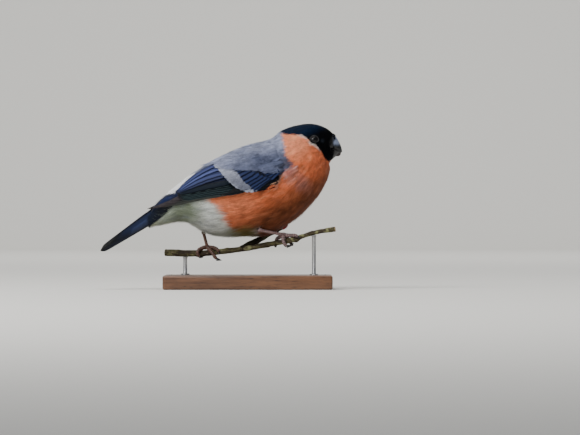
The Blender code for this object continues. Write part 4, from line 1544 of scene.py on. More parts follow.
    def build(self, body: SideMap) -> bpy.types.Object:
        """Build the wing.

        Args:
            body: The side of the body that the wing lies on.

        Returns:
            The finished wing.
        """
        heap = FeatherHeap()
        draw = np.random.default_rng(40 + self.side.value)
        for quill in self.quills():
            vertices, triangles, place = vane_mesh(self.outline(quill, body, draw), self.rows, self.columns)
            if self.side is Side.RIGHT:
                triangles = triangles[:, ::-1]
            shade = quill.shade * draw.uniform(0.88, 1.12)
            heap.add(vertices, triangles, quill.tint.colours(place, shade), place)
        made = heap.piece("wing_feathers_" + self.side.letter, "Vane")
        finish = QuillFinish("blue-black wing quills").material()
        return settle(made, finish, ("wing_" + self.side.letter,))

    def outline(self, quill: Quill, body: SideMap, draw: np.random.Generator) -> Callable[..., Array]:
        """Give the placing function of one feather.

        Args:
            quill: The feather.
            body: The side of the body.
            draw: Source of small differences.

        Returns:
            A function of share, across and face that gives places.
        """
        root = np.array(quill.root)
        tip = np.array(quill.tip)
        way = (tip - root) / np.linalg.norm(tip - root)
        down = np.array((-way[1], way[0]))
        down = -down if down[1] > 0 else down
        ragged = draw.uniform(0.0, 40.0)

        def centre(share: Array, across: Array, face: int) -> Array:
            """Give places on the feather."""
            left = np.maximum(share - (1.0 - quill.point), 0.0) / quill.point
            width = (0.72 + 0.28 * smooth_step(share, 0.0, 0.3)) * np.sqrt(np.maximum(1.0 - left ** 2.2, 0.0))
            width = np.maximum(width * (0.1 + 0.9 * smooth_step(share, -0.02, 0.1)), 0.02)
            nick = 0.05 * np.sin(ragged + 37.0 * share) * np.abs(across) ** 3
            along = share + 0.012 * np.sin(ragged + 9.0 * across) * smooth_step(share, 0.6, 1.0)
            drop = (across * width + nick) * quill.half_width - quill.bow * 4 * share * (1 - share)
            slide = quill.skew * 4 * share * (1 - share)
            x = root[0] + (tip[0] - root[0]) * along + down[0] * drop - way[0] * slide
            z = root[1] + (tip[1] - root[1]) * along + down[1] * drop - way[1] * slide
            lift = quill.lift * MM + self.tilt * (across + 1.0) / 2.0 + self.camber * (1.0 - across ** 2)
            lift = lift + 0.12 * MM * np.exp(-(across / 0.09) ** 2) * (1.0 - share)
            lift = lift * (0.3 + 0.7 * smooth_step(share, 0.0, 0.16))
            lift = lift + face * self.thickness / 2.0 * (1.0 - 0.5 * share)
            return body.place(x * MM, z * MM, lift)

        return centre


@dataclass
class Tail:
    """Twelve tail feathers, stacked on each side under the middle pair."""

    start_mm: Spot = (-50.5, 44.4)
    slope: float = math.radians(33.6)
    length: float = 40.2 * MM
    notch: float = 2.4 * MM
    half_depth: tuple[float, float] = (3.9 * MM, 1.55 * MM)
    half_width: float = 3.4 * MM
    step: float = 0.7 * MM
    overlap: float = 2.0 * MM
    per_side: int = 6
    tint: VaneTint = field(default_factory=lambda: VaneTint(
        srgb(5, 7, 12), srgb(14, 21, 40), srgb(26, 36, 62), srgb(10, 12, 18), 0.97, 0.5, 0.08))

    def outline(self, feather: int, side: Side) -> Callable[..., Array]:
        """Give the placing function of one tail feather.

        Args:
            feather: 0 for the middle pair, rising outwards.
            side: Which side it is on.

        Returns:
            A function of share, across and face that gives places.
        """
        start = np.array((self.start_mm[0] * MM, 0.0, self.start_mm[1] * MM))
        back = np.array((-math.cos(self.slope), 0.0, -math.sin(self.slope)))
        up = np.array((-math.sin(self.slope), 0.0, math.cos(self.slope)))
        stack = feather / (self.per_side - 1)
        length = self.length - self.notch * (1.0 - stack)

        def centre(share: Array, across: Array, face: int) -> Array:
            """Give places on the feather."""
            half_depth = self.half_depth[0] + (self.half_depth[1] - self.half_depth[0]) * share
            drop = 1.1 * half_depth
            left = np.maximum(share - 0.9, 0.0) / 0.1
            width = (0.7 + 0.3 * smooth_step(share, 0.0, 0.35)) * np.sqrt(np.maximum(1.0 - 0.97 * left ** 2.4, 0.0))
            spread = across * width * self.half_width + self.half_width - self.overlap
            roof = drop * np.abs(spread) / (2 * self.half_width - self.overlap)
            rise = half_depth - (2 * half_depth - drop) * stack - roof - (0.25 * MM if side is Side.LEFT else 0.0)
            spread = spread + self.step * feather * (0.7 + 0.6 * share)
            rise = rise + 0.18 * MM * (1.0 - across ** 2) + face * 0.08 * MM
            places = start + back * (length * share)[:, None] + up * rise[:, None]
            places[:, 1] += side.value * spread
            return places

        return centre

    def build(self) -> bpy.types.Object:
        """Build the tail.

        Returns:
            The finished tail.
        """
        heap = FeatherHeap()
        for feather in reversed(range(self.per_side)):
            for side in Side:
                vertices, triangles, place = vane_mesh(self.outline(feather, side), 34, 11)
                if side is Side.LEFT:
                    triangles = triangles[:, ::-1]
                # Brighter on the upper middle feathers and darker on the lower outer ones: painted light from above
                # and painted shade below. The colour also darkens towards the tip.
                shade = (1.7 - 0.26 * feather) * (1.0 - 0.6 * place[:, 1:] ** 2)
                colour = self.tint.colours(place, 1.0) * shade
                heap.add(vertices, triangles, colour, place)
        made = heap.piece("tail_feathers", "Vane")
        return settle(made, QuillFinish("glossy tail quills", 0.44).material(), ("tail",))


@dataclass
class Skin:
    """One skin under the plumage of head, neck, torso and thighs."""

    markings: Markings
    nodes: tuple[str, ...] = ("head", "neck", "torso", "thigh_r", "thigh_l")
    swell: float = 0.35 * MM
    voxel: float = 0.6 * MM
    body_depth: float = 0.95 * MM
    face_depth: float = 0.3 * MM

    def build(self, frame: dict) -> bpy.types.Object:
        """Build the skin.

        Args:
            frame: The loaded frame.

        Returns:
            The finished skin.
        """
        skin = copy_of_nodes(frame, self.nodes, "skin", self.swell)
        remesh(skin, self.voxel, 10)
        places = vertices_of(skin)
        depth = self.body_depth + (self.face_depth - self.body_depth) * smooth_step(places[:, 0], 24 * MM, 40 * MM) \
            * smooth_step(places[:, 2], 66 * MM, 80 * MM)
        place_vertices(skin, places - normals_of(skin) * (self.swell + depth)[:, None])
        # The skin takes the plumage markings at 0.7 of their brightness: painted shade under the feathers.
        paint(skin, self.markings.colour(vertices_of(skin)) * 0.7)
        skin.name = "skin"
        finish = PlumageFinish("down under the feathers", 0.9, 0.1, 0.1).material()
        return settle(skin, finish, self.nodes)


@dataclass(frozen=True)
class Tuft:
    """The pattern of one small feather: a fan of tapering barbs."""

    barbs: int
    reach: float
    blade: float
    notch: float
    levels: tuple[float, ...] = (0.0, 0.55, 1.0)

    def pattern(self) -> tuple[Array, Array, Array]:
        """Lay the fan out flat.

        Returns:
            Rows of (across, along, share, barb) for each vertex, the triangles, and each vertex's barb.
        """
        rows = []
        triangles = []
        for barb in range(self.barbs):
            lean = 2.0 * barb / (self.barbs - 1) - 1.0 if self.barbs > 1 else 0.0
            root_along = 0.05 * abs(lean)
            tip_along = 1.0 - self.notch * lean ** 2
            first = len(rows)
            for share in self.levels:
                middle = lean * (0.22 + (self.reach - 0.22) * share ** 0.8)
                along = root_along + (tip_along - root_along) * share
                half = self.blade * (0.7 + 0.6 * share) * (1.0 - share ** 3)
                if share < 1.0:
                    rows.append((middle - half, along, share))
                    rows.append((middle + half, along, share))
                else:
                    rows.append((middle, along, share))
            last = first + 2 * (len(self.levels) - 1)
            for pair in range(first, last - 2, 2):
                triangles.append((pair, pair + 1, pair + 3))
                triangles.append((pair, pair + 3, pair + 2))
            triangles.append((last - 2, last - 1, last))
        barbs = np.repeat(np.arange(self.barbs), 2 * (len(self.levels) - 1) + 1)
        return np.array(rows), np.array(triangles), barbs


@dataclass
class Tracks:
    """Where many small feathers run: three places and outward directions along each."""

    places: Array
    outs: Array
    lengths: Array
    widths: Array
    lifts: Array

    def chosen(self, keep: Array) -> Tracks:
        """Take some of the tracks.

        Args:
            keep: Which ones.

        Returns:
            Those tracks.
        """
        return Tracks(self.places[:, keep], self.outs[:, keep], self.lengths[keep], self.widths[keep],
                      self.lifts[keep])


@dataclass
class Unwrap:
    """The coat's own flat map: round and along the body's bent axis."""

    axis_mm: Sequence[Spot] = (
        (54.0, 83.0), (44.0, 84.0), (36.0, 82.5), (30.0, 77.0), (24.0, 69.0), (14.0, 60.0), (0.0, 55.0),
        (-20.0, 50.5), (-40.0, 47.5), (-60.0, 38.0),
    )

    def places(self, points: Array) -> Array:
        """Give the place of each point on the map.

        Args:
            points: Places in metres, one a row.

        Returns:
            (u, v) rows from 0 to 1.
        """
        axis = np.array(self.axis_mm) * MM
        flat = points[:, [0, 2]]
        best = np.full(len(points), np.inf)
        travelled = np.zeros(len(points))
        angle = np.zeros(len(points))
        run = 0.0
        for start, end in zip(axis, axis[1:]):
            span = end - start
            length = np.linalg.norm(span)
            share = np.clip(((flat - start) @ span) / length ** 2, 0.0, 1.0)
            offset = flat - (start + share[:, None] * span)
            distance = np.linalg.norm(offset, axis=1)
            up = np.array((-span[1], span[0])) / length
            up = -up if up[1] < 0 else up
            nearer = distance < best
            best = np.where(nearer, distance, best)
            travelled = np.where(nearer, run + share * length, travelled)
            angle = np.where(nearer, np.arctan2(points[:, 1], offset @ up), angle)
            run += length
        return np.stack([0.02 + 0.96 * (angle + math.pi) / (2 * math.pi), 0.02 + 0.96 * travelled / run], axis=1)


@dataclass
class Coat:
    """The small body feathers, in pieces by kind of plumage and side."""

    markings: Markings
    lie: Lie
    unwrap: Unwrap = field(default_factory=Unwrap)
    finishes: BodyPlumageFinishes = field(default_factory=BodyPlumageFinishes)
    layers: float = 16.0
    bake_patch: float = 0.003
    loose: Tuft = Tuft(7, 0.92, 0.085, 0.2)
    downy: Tuft = Tuft(7, 1.0, 0.075, 0.28)
    close: Tuft = Tuft(5, 0.8, 0.19, 0.3)
    seed: int = 7

    def tuft(self, kind: Plumage) -> Tuft:
        """Choose the feather pattern of one kind of plumage.

        Args:
            kind: The kind.

        Returns:
            Its pattern.
        """
        return {Plumage.ORANGE: self.loose, Plumage.WHITE: self.downy}.get(kind, self.close)

    def roots(self, skin: bpy.types.Object, draw: np.random.Generator) -> tuple[Array, Array]:
        """Scatter feather roots evenly over the skin, closer where feathers are small.

        Args:
            skin: The skin.
            draw: Source of random numbers.

        Returns:
            Places and outward directions.
        """
        mesh = skin.data
        mesh.calc_loop_triangles()
        corners = np.zeros(len(mesh.loop_triangles) * 3, dtype=np.int32)
        mesh.loop_triangles.foreach_get("vertices", corners)
        corners = corners.reshape(-1, 3)
        places, normals = vertices_of(skin), normals_of(skin)
        a, b, c = (places[corners[:, index]] for index in range(3))
        area = np.linalg.norm(np.cross(b - a, c - a), axis=1) / 2.0
        length, width = self.lie.at((a + b + c) / 3.0)[1:3]
        wanted = area * self.layers / (length * width)
        counts = draw.poisson(wanted * 2.2)
        chosen = np.repeat(np.arange(len(corners)), counts)
        first, second = draw.random((2, len(chosen)))
        over = first + second > 1.0
        first, second = np.where(over, 1 - first, first), np.where(over, 1 - second, second)
        third = 1.0 - first - second
        shares = np.stack([third, first, second], axis=1)[:, :, None]
        spots = (places[corners[chosen]] * shares).sum(axis=1)
        outs = unit((normals[corners[chosen]] * shares).sum(axis=1))
        length, width = self.lie.at(spots)[1:3]
        spacing = np.sqrt(length * width / self.layers)
        band = 2.0 ** (np.round(np.log2(spacing) * 4.0) / 4.0)
        cell = np.floor(spots / band[:, None]).astype(np.int64)
        key = (cell[:, 0] * 73856093) ^ (cell[:, 1] * 19349663) ^ (cell[:, 2] * 83492791) \
            ^ np.round(np.log2(band) * 4.0).astype(np.int64) * 2654435761
        keep = np.unique(key, return_index=True)[1]
        return spots[keep], outs[keep]

    def tracks(self, tree: BVHTree, roots: Array, outs: Array, draw: np.random.Generator) -> Tracks:
        """Run feathers from their roots along the skin.

        Args:
            tree: The skin's surface.
            roots: Their roots.
            outs: Outward directions there.
            draw: Source of random numbers.

        Returns:
            The tracks.
        """
        way, length, width, lift = self.lie.at(roots)
        count = len(roots)
        length = length * draw.uniform(0.8, 1.2, count)
        width = width * draw.uniform(0.85, 1.15, count)
        lift = lift * draw.uniform(0.6, 1.35, count) * (0.7 + 0.6 * self.markings.flow.streaks(roots, 0.55, 4.0, 14))
        turn = np.radians(draw.normal(0.0, 5.0, count) + 26.0 * (lumps(roots, 7.0 * MM, 21) - 0.5))
        way = unit(way - outs * (way * outs).sum(axis=1, keepdims=True))
        across = np.cross(outs, way)
        way = way * np.cos(turn)[:, None] + across * np.sin(turn)[:, None]
        places = [roots]
        directions = [outs]
        spot = roots
        for _ in range(2):
            spot, out = self.nearest(tree, spot + way * (length / 2.0)[:, None])
            places.append(spot)
            directions.append(out)
            way = unit(way - out * (way * out).sum(axis=1, keepdims=True))
        return Tracks(np.array(places), np.array(directions), length, width, lift)

    @staticmethod
    def nearest(tree: BVHTree, points: Array) -> tuple[Array, Array]:
        """Find the nearest places on a surface.

        Args:
            tree: The surface.
            points: Places near it.

        Returns:
            Places on it and outward directions there.
        """
        found = [tree.find_nearest(Vector(point))[:2] for point in points]
        return np.array([spot for spot, _ in found]), np.array([out for _, out in found])

    def grow(self, name: str, kind: Plumage, tracks: Tracks, draw: np.random.Generator,
             tint: Callable[[Array], Array] | None = None) -> list[bpy.types.Object]:
        """Grow feathers of one kind on tracks.

        Args:
            name: The name that the pieces start with.
            kind: The kind of plumage.
            tracks: Where they run.
            draw: Source of random numbers.
            tint: Gives their colours, if they aren't those of the markings.

        Returns:
            The finished pieces.
        """
        tuft = self.tuft(kind)
        pattern, triangles, barbs = tuft.pattern()
        limit = COAT_LIMIT // len(triangles)
        total = tracks.places.shape[1]
        pieces = []
        for part, first in enumerate(range(0, total, limit)):
            chosen = tracks.chosen(np.arange(first, min(first + limit, total)))
            vertices, colours, places = self.feathers(chosen, tuft, pattern, barbs, kind, draw,
                                                      tint or self.markings.colour)
            count = chosen.places.shape[1]
            faces = (triangles[None] + (np.arange(count) * len(pattern))[:, None, None]).reshape(-1, 3)
            made = mesh_piece(f"{name}_{part + 1}", vertices, faces)
            paint(made, colours)
            map_piece(made, "OFBake", places)
            pieces.append(settle(made, self.finishes.of(kind)))
        return pieces

    def feathers(self, tracks: Tracks, tuft: Tuft, pattern: Array, barbs: Array, kind: Plumage,
                 draw: np.random.Generator, tint: Callable[[Array], Array]) -> tuple[Array, Array, Array]:
        """Bend the flat pattern onto every track.

        Args:
            tracks: Where the feathers run.
            tuft: Their pattern's sizes.
            pattern: The flat pattern.
            barbs: The barb of each of its vertices.
            kind: The kind of plumage.
            draw: Source of random numbers.
            tint: Gives their colours.

        Returns:
            Vertices, their colours and their places on the flat map.
        """
        count = tracks.places.shape[1]
        splay = draw.normal(0.0, 0.1, (count, tuft.barbs))[:, barbs]
        stretch = draw.uniform(0.86, 1.1, (count, tuft.barbs))[:, barbs]
        raised = draw.uniform(-0.5, 1.0, (count, tuft.barbs))[:, barbs]
        share = pattern[:, 2][None]
        along = np.clip(pattern[:, 1][None] * np.where(share > 0, stretch, 1.0), 0.0, 1.15)
        across = pattern[:, 0][None] + splay * share
        first = (2.0 * (along - 0.5) * (along - 1.0))[..., None]
        second = (4.0 * along * (1.0 - along))[..., None]
        third = (2.0 * along * (along - 0.5))[..., None]
        p0, p1, p2 = tracks.places[:, :, None, :]
        n0, _, n2 = tracks.outs[:, :, None, :]
        middle = p0 * first + p1 * second + p2 * third
        out = unit(n0 * (1 - along)[..., None] + n2 * along[..., None])
        way = unit(p2 - p0 + 1e-9)
        sideways = np.cross(out, np.broadcast_to(way, out.shape))
        length = tracks.lengths[:, None]
        width = tracks.widths[:, None]
        height = length * np.sin(tracks.lifts)[:, None] * along ** 1.15 - 0.1 * MM
        height = height + 0.10 * width * (1.0 - across ** 2) * (0.3 + 0.7 * along)
        height = height + 0.035 * length * raised * share
        vertices = middle + sideways * (across * width / 2.0)[..., None] + out * height[..., None]
        middle_spots = tracks.places[1] + draw.normal(0.0, 0.25 * MM, (count, 3))
        colour = tint(middle_spots)
        soft = kind in (Plumage.ORANGE, Plumage.WHITE)
        feather_shade = draw.normal(1.0, 0.09, count)
        barb_shade = draw.normal(1.0, 0.17 if soft else 0.08, (count, tuft.barbs))[:, barbs]
        # Each barb darkens towards the feather's root: painted shade where the feathers overlap.
        shade = feather_shade[:, None] * barb_shade * (0.62 + 0.44 * share)
        colours = np.minimum(colour[:, None, :] * shade[..., None], 0.96)
        root_map = self.unwrap.places(tracks.places[0])
        patch = np.stack([pattern[:, 0] * 0.5, pattern[:, 1] - 0.5], axis=1) * self.bake_patch
        places = root_map[:, None, :] + patch[None]
        return vertices.reshape(-1, 3), colours.reshape(-1, 3), places.reshape(-1, 2)

    def build(self, skin: bpy.types.Object, cover: Cover) -> list[bpy.types.Object]:
        """Grow the coat all over the skin.

        Args:
            skin: The skin.
            cover: Where feathers are left out.

        Returns:
            The finished pieces.
        """
        draw = np.random.default_rng(self.seed)
        tree = BVHTree.FromObject(skin, bpy.context.evaluated_depsgraph_get())
        roots, outs = self.roots(skin, draw)
        bare = cover.roots(roots)
        tracks = self.tracks(tree, roots[~bare], outs[~bare], draw)
        tracks = tracks.chosen(~cover.tips(tracks.places[2]))
        shares = self.markings.shares(tracks.places[1])
        kinds = list(Plumage)
        main_kind = np.argmax(np.stack([shares[kind] for kind in kinds]), axis=0)
        pieces = []
        for index, kind in enumerate(kinds):
            for side in Side:
                keep = np.flatnonzero((main_kind == index) & (np.sign(tracks.places[0][:, 1] + 1e-9) == side.value))
                name = f"coat_{kind.name.lower()}_{side.letter}"
                pieces += self.grow(name, kind, tracks.chosen(keep), draw)
        LOG.info("coat: %d feathers", tracks.places.shape[1])
        return pieces


def inside_outline(outline: Sequence[Spot], x: Array, z: Array) -> Array:
    """Tell which places of the side view lie inside an outline.

    Args:
        outline: The outline's corners.
        x: Places along X, in the unit of the corners.
        z: Places along Z.

    Returns:
        Truth values.
    """
    held = np.zeros(len(x), dtype=bool)
    corners = list(outline)
    for (x0, z0), (x1, z1) in zip(corners, corners[1:] + corners[:1]):
        crosses = (z0 > z) != (z1 > z)
        with np.errstate(divide="ignore", invalid="ignore"):
            at = x0 + (z - z0) * (x1 - x0) / (z1 - z0)
        held ^= crosses & (x < at)
    return held


@dataclass
class OverlayTract:
    """A tract of body feathers that lies over the wing, such as the scapulars."""

    name: str
    kind: Plumage
    outline_mm: Sequence[Spot]
    heading: tuple[float, float]
    length_mm: tuple[float, float]
    width_mm: float
    count: int
    limit_mm: Sequence[Spot] = ()
    tints: tuple[Colour, Colour] | None = None
    lift: float = math.radians(3.0)
    seed: int = 3

    def tint(self, points: Array) -> Array:
        """Give the tract's own colours, from its back to its front.

        Args:
            points: Places in metres, one a row.

        Returns:
            Linear colours, one a row.
        """
        corners = np.array(self.outline_mm)
        share = smooth_step(points[:, 0] / MM, corners[:, 0].min() - 3.0, corners[:, 0].max())
        count = len(points)
        shade = 0.65 + 0.7 * lumps(points, 0.7 * MM, 23)
        return blend(np.tile(self.tints[0], (count, 1)), np.tile(self.tints[1], (count, 1)), share) * shade[:, None]

    def tracks(self, envelope: SideMap) -> Tracks:
        """Run the tract's feathers over body and wing.

        Args:
            envelope: The outside of body and wing together.

        Returns:
            The tracks.
        """
        draw = np.random.default_rng(self.seed)
        corners = np.array(self.outline_mm)
        low, high = corners.min(axis=0), corners.max(axis=0)
        spots = draw.uniform(low, high, (self.count * 3, 2))
        spots = spots[inside_outline(self.outline_mm, spots[:, 0], spots[:, 1])][:self.count]
        share = (spots[:, 0] - low[0]) / (high[0] - low[0])
        heading = np.radians(self.heading[0] + (self.heading[1] - self.heading[0]) * share
                             + draw.normal(0.0, 5.0, len(spots)))
        length = (self.length_mm[0] + (self.length_mm[1] - self.length_mm[0]) * share) * MM
        length = length * draw.uniform(0.85, 1.15, len(spots))
        tips = spots + np.stack([np.cos(heading), np.sin(heading)], axis=1) * length[:, None] / MM
        within = inside_outline(self.limit_mm, tips[:, 0], tips[:, 1]) if self.limit_mm else np.ones(len(spots), bool)
        spots, heading, length = spots[within], heading[within], length[within]
        places = []
        outs = []
        for step, lift in ((0.0, 0.0), (0.5, 0.15 * MM), (1.0, 0.3 * MM)):
            x = spots[:, 0] * MM + np.cos(heading) * length * step
            z = spots[:, 1] * MM + np.sin(heading) * length * step
            places.append(envelope.place(x, z, np.full(len(x), lift)))
            outs.append(envelope.outward(x, z))
        widths = np.full(len(spots), self.width_mm * MM) * draw.uniform(0.85, 1.15, len(spots))
        return Tracks(np.array(places), np.array(outs), length, widths, np.full(len(spots), self.lift))


def sweep(points: Array, ups: Array, radii: Array, sides: int) -> tuple[Array, Array, Array]:
    """Skin a closed tube round a path.

    Args:
        points: The path, one place a row.
        ups: The direction of angle 0 at each place.
        radii: A radius for each place and side, from angle 0 round.
        sides: How many sides the tube has.

    Returns:
        Vertices, triangles, and the (angle, share) place of every vertex, from 0 to 1.
    """
    count = len(points)
    tangents = unit(np.gradient(points, axis=0))
    ups = unit(ups - tangents * (ups * tangents).sum(axis=1, keepdims=True))
    across = np.cross(tangents, ups)
    angles = 2.0 * math.pi * np.arange(sides) / sides
    radii = np.broadcast_to(radii, (count, sides))
    rings = (points[:, None] + radii[..., None] * (np.cos(angles)[None, :, None] * ups[:, None]
                                                   + np.sin(angles)[None, :, None] * across[:, None]))
    vertices = np.vstack([rings.reshape(-1, 3), points[:1], points[-1:]])
    number = np.arange(count * sides).reshape(count, sides)
    low, ahead = number[:-1], number[1:]
    beside, corner = np.roll(low, -1, axis=1), np.roll(ahead, -1, axis=1)
    walls = np.concatenate([np.stack([low, beside, corner], -1).reshape(-1, 3),
                            np.stack([low, corner, ahead], -1).reshape(-1, 3)])
    start, end = number[0], number[-1]
    caps = np.concatenate([
        np.stack([np.full(sides, count * sides), np.roll(start, -1), start], 1),
        np.stack([np.full(sides, count * sides + 1), end, np.roll(end, -1)], 1)])
    share = np.repeat(np.linspace(0.0, 1.0, count), sides)
    place = np.stack([np.tile(np.arange(sides) / sides, count), share], axis=1)
    place = np.vstack([place, [[0.5, 0.0], [0.5, 1.0]]])
    return vertices, np.concatenate([walls, caps]), place


@dataclass
class Bill:
    """The stout bill: two lofted halves, a dark lining between them and black tufts about the root."""

    upper_mm: Sequence[Sequence[float]] = (
        (45.4, 88.9, 45.9, 81.3, 6.6), (46.9, 88.8, 47.0, 81.0, 6.0), (48.5, 88.5, 48.2, 80.75, 5.15),
        (50.3, 86.6, 49.6, 80.25, 4.2), (51.6, 84.5, 50.8, 79.6, 3.45), (52.6, 82.4, 51.8, 79.0, 2.6),
        (53.3, 80.4, 52.7, 78.5, 1.6), (53.65, 78.6, 53.4, 77.8, 0.5),
    )
    lower_mm: Sequence[Sequence[float]] = (
        (45.2, 80.9, 45.0, 73.9, 3.9), (47.8, 80.3, 47.3, 73.6, 4.0), (49.3, 79.7, 49.0, 74.7, 3.7),
        (50.7, 79.0, 50.3, 75.8, 3.0), (51.9, 78.4, 51.6, 77.0, 1.8), (52.6, 77.9, 52.5, 77.4, 0.6),
    )
    lining_mm: Sequence[Sequence[float]] = (
        (45.2, 82.4, 45.0, 78.9, 3.2), (48.6, 81.6, 48.4, 78.5, 3.1), (50.6, 80.6, 50.4, 78.0, 2.4),
        (52.2, 79.6, 52.0, 77.6, 1.3), (53.0, 78.9, 52.9, 77.7, 0.4),
    )
    horn: Colour = field(default_factory=lambda: srgb(9, 10, 12))
    # The blue-grey of the painted highlight on the upper mandible.
    painted_highlight: Colour = field(default_factory=lambda: srgb(132, 142, 168))
    base: Colour = field(default_factory=lambda: srgb(28, 29, 32))
    flesh: Colour = field(default_factory=lambda: srgb(26, 14, 15))

    def half(self, sections: Sequence[Sequence[float]], upwards: bool, flat: float) -> tuple[Array, Array, Array]:
        """Loft one half of the bill.

        Args:
            sections: Ridge (x, z), cutting edge (x, z) and half width at each section.
            upwards: Whether the ridge lies above the edge.
            flat: How far the cutting face bulges, as a share of the height.

        Returns:
            Vertices, triangles, and the (angle, share) place of every vertex.
        """
        rows = smooth_rows(sections, 8)
        sides = 40
        angle = 2.0 * math.pi * np.arange(sides) / sides
        domed = np.cos(angle) > 0
        across = np.sign(np.sin(angle)) * np.abs(np.sin(angle)) ** np.where(domed, 0.85, 0.6)
        rise = np.where(domed, np.abs(np.cos(angle)) ** 0.9, -flat * np.abs(np.cos(angle)))
        rings = []
        for ridge_x, ridge_z, edge_x, edge_z, half_width in rows:
            top, bottom = np.array((ridge_x, ridge_z)), np.array((edge_x, edge_z))
            if not upwards:
                top, bottom = bottom, top
            flat_place = bottom + (top - bottom) * rise[:, None]
            rings.append(np.stack([flat_place[:, 0], across * half_width, flat_place[:, 1]], axis=1) * MM)
        rings = np.array(rings)
        centres = rings.mean(axis=1)
        count = len(rings)
        vertices = np.vstack([rings.reshape(-1, 3), centres[:1], centres[-1:]])
        triangles, place = sweep(np.cumsum(np.ones((count, 3)), axis=0), np.tile((0.0, 0.0, 1.0), (count, 1)),
                                 np.ones((count, sides)), sides)[1:]
        return vertices, triangles if upwards else triangles[:, ::-1], place

    def tint(self, vertices: Array, place: Array) -> Array:
        """Give the horn's colours, with a painted highlight on the upper mandible.

        Args:
            vertices: Places, one a row.
            place: (angle, share) places. Not used.

        Returns:
            Linear colours.
        """
        x, y, z = vertices.T / MM
        count = len(vertices)
        streak = lumps(vertices * (0.4, 1.0, 1.0), 0.5 * MM, 31)
        # A blue-grey band on the upper mandible's sides: painted highlight.
        painted_highlight = smooth_step(x, 47.8, 49.6) * (1.0 - smooth_step(x, 51.8, 53.3)) * smooth_step(z, 81.2, 83.4)
        painted_highlight = painted_highlight * (0.6 + 0.7 * streak)
        colour = blend(np.tile(self.horn, (count, 1)), np.tile(self.painted_highlight, (count, 1)), np.clip(painted_highlight, 0.0, 1.0))
        rooted = (1.0 - smooth_step(x, 47.6, 49.6)) * smooth_step(z, 80.6, 82.4) * 0.6
        return blend(colour, np.tile(self.base, (count, 1)), rooted)

    def build(self) -> list[bpy.types.Object]:
        """Build the bill.

        Returns:
            The finished halves and the lining.
        """
        pieces = []
        for name, sections, upwards, flat in (("bill_upper", self.upper_mm, True, 0.1),
                                              ("bill_lower", self.lower_mm, False, 0.12)):
            vertices, triangles, place = self.half(sections, upwards, flat)
            made = mesh_piece(name + "_horn", vertices, triangles)
            paint(made, self.tint(vertices, place))
            self.face_out(made)
            pieces.append(settle(made, HornFinish("slate bill horn").material(), (name,)))
        # The near-black lining shows as the line between the halves: partly the mouth's own dark skin, partly painted
        # shade in the gape.
        vertices, triangles, place = self.half(self.lining_mm, True, 0.9)
        lining = mesh_piece("mouth_lining", vertices, triangles)
        paint(lining, np.tile(self.flesh, (len(vertices), 1)))
        self.face_out(lining)
        pieces.append(settle(lining, ScaleFinish("dark mouth lining", 0.45).material()))
        return pieces

    @staticmethod
    def face_out(piece: bpy.types.Object) -> None:
        """Turn a closed piece's faces outwards.

        Args:
            piece: The piece.
        """
        select_only(piece)
        bpy.ops.object.mode_set(mode="EDIT")
        bpy.ops.mesh.select_all(action="SELECT")
        bpy.ops.mesh.normals_make_consistent(inside=False)
        bpy.ops.object.mode_set(mode="OBJECT")

    def tufts(self, skin: bpy.types.Object, horns: Sequence[bpy.types.Object]) -> Tracks:
        """Run the short black feathers that cover the bill's root.

        Args:
            skin: The skin.
            horns: The bill's halves.

        Returns:
            The tracks.
        """
        draw = np.random.default_rng(17)
        count = 1300
        angle = draw.uniform(-math.pi, math.pi, count)
        centre = np.array((47.0, 0.0, 80.4)) * MM
        up = np.array((0.1, 0.0, 0.995))
        side = np.array((0.0, 1.0, 0.0))
        ring = up * np.cos(angle)[:, None] * 9.0 * MM + side * np.sin(angle)[:, None] * 5.2 * MM
        beside = np.exp(-((80.4 + 9.0 * np.cos(angle) - 83.6) / 2.2) ** 2)
        back = (draw.uniform(-2.2, 1.4, count) - 1.9 * beside) * MM
        start = centre + ring + np.array((1.0, 0.0, -0.1)) * back[:, None]
        surfaces = [BVHTree.FromObject(skin, bpy.context.evaluated_depsgraph_get())]
        surfaces += [BVHTree.FromObject(horn, bpy.context.evaluated_depsgraph_get()) for horn in horns]
        top = (1.0 + np.cos(angle)) / 2.0
        length = (1.5 + 0.7 * top) * draw.uniform(0.75, 1.2, count) * MM
        inward = unit(-ring)
        forward = unit(np.array((1.0, 0.0, -0.25)) + inward * 0.55 + draw.normal(0.0, 0.12, (count, 3)))
        places = []
        outs = []
        for share in (0.0, 0.5, 1.0):
            spots = start + forward * (length * share)[:, None]
            kept = []
            for spot in spots:
                found = [surface.find_nearest(Vector(spot)) for surface in surfaces]
                kept.append(min(found, key=lambda hit: hit[3])[:2])
            places.append(np.array([place for place, _ in kept]))
            outs.append(np.array([out for _, out in kept]))
        lifts = np.full(count, math.radians(13.0)) * draw.uniform(0.6, 1.4, count)
        return Tracks(np.array(places), np.array(outs), length, np.full(count, 0.55 * MM), lifts)


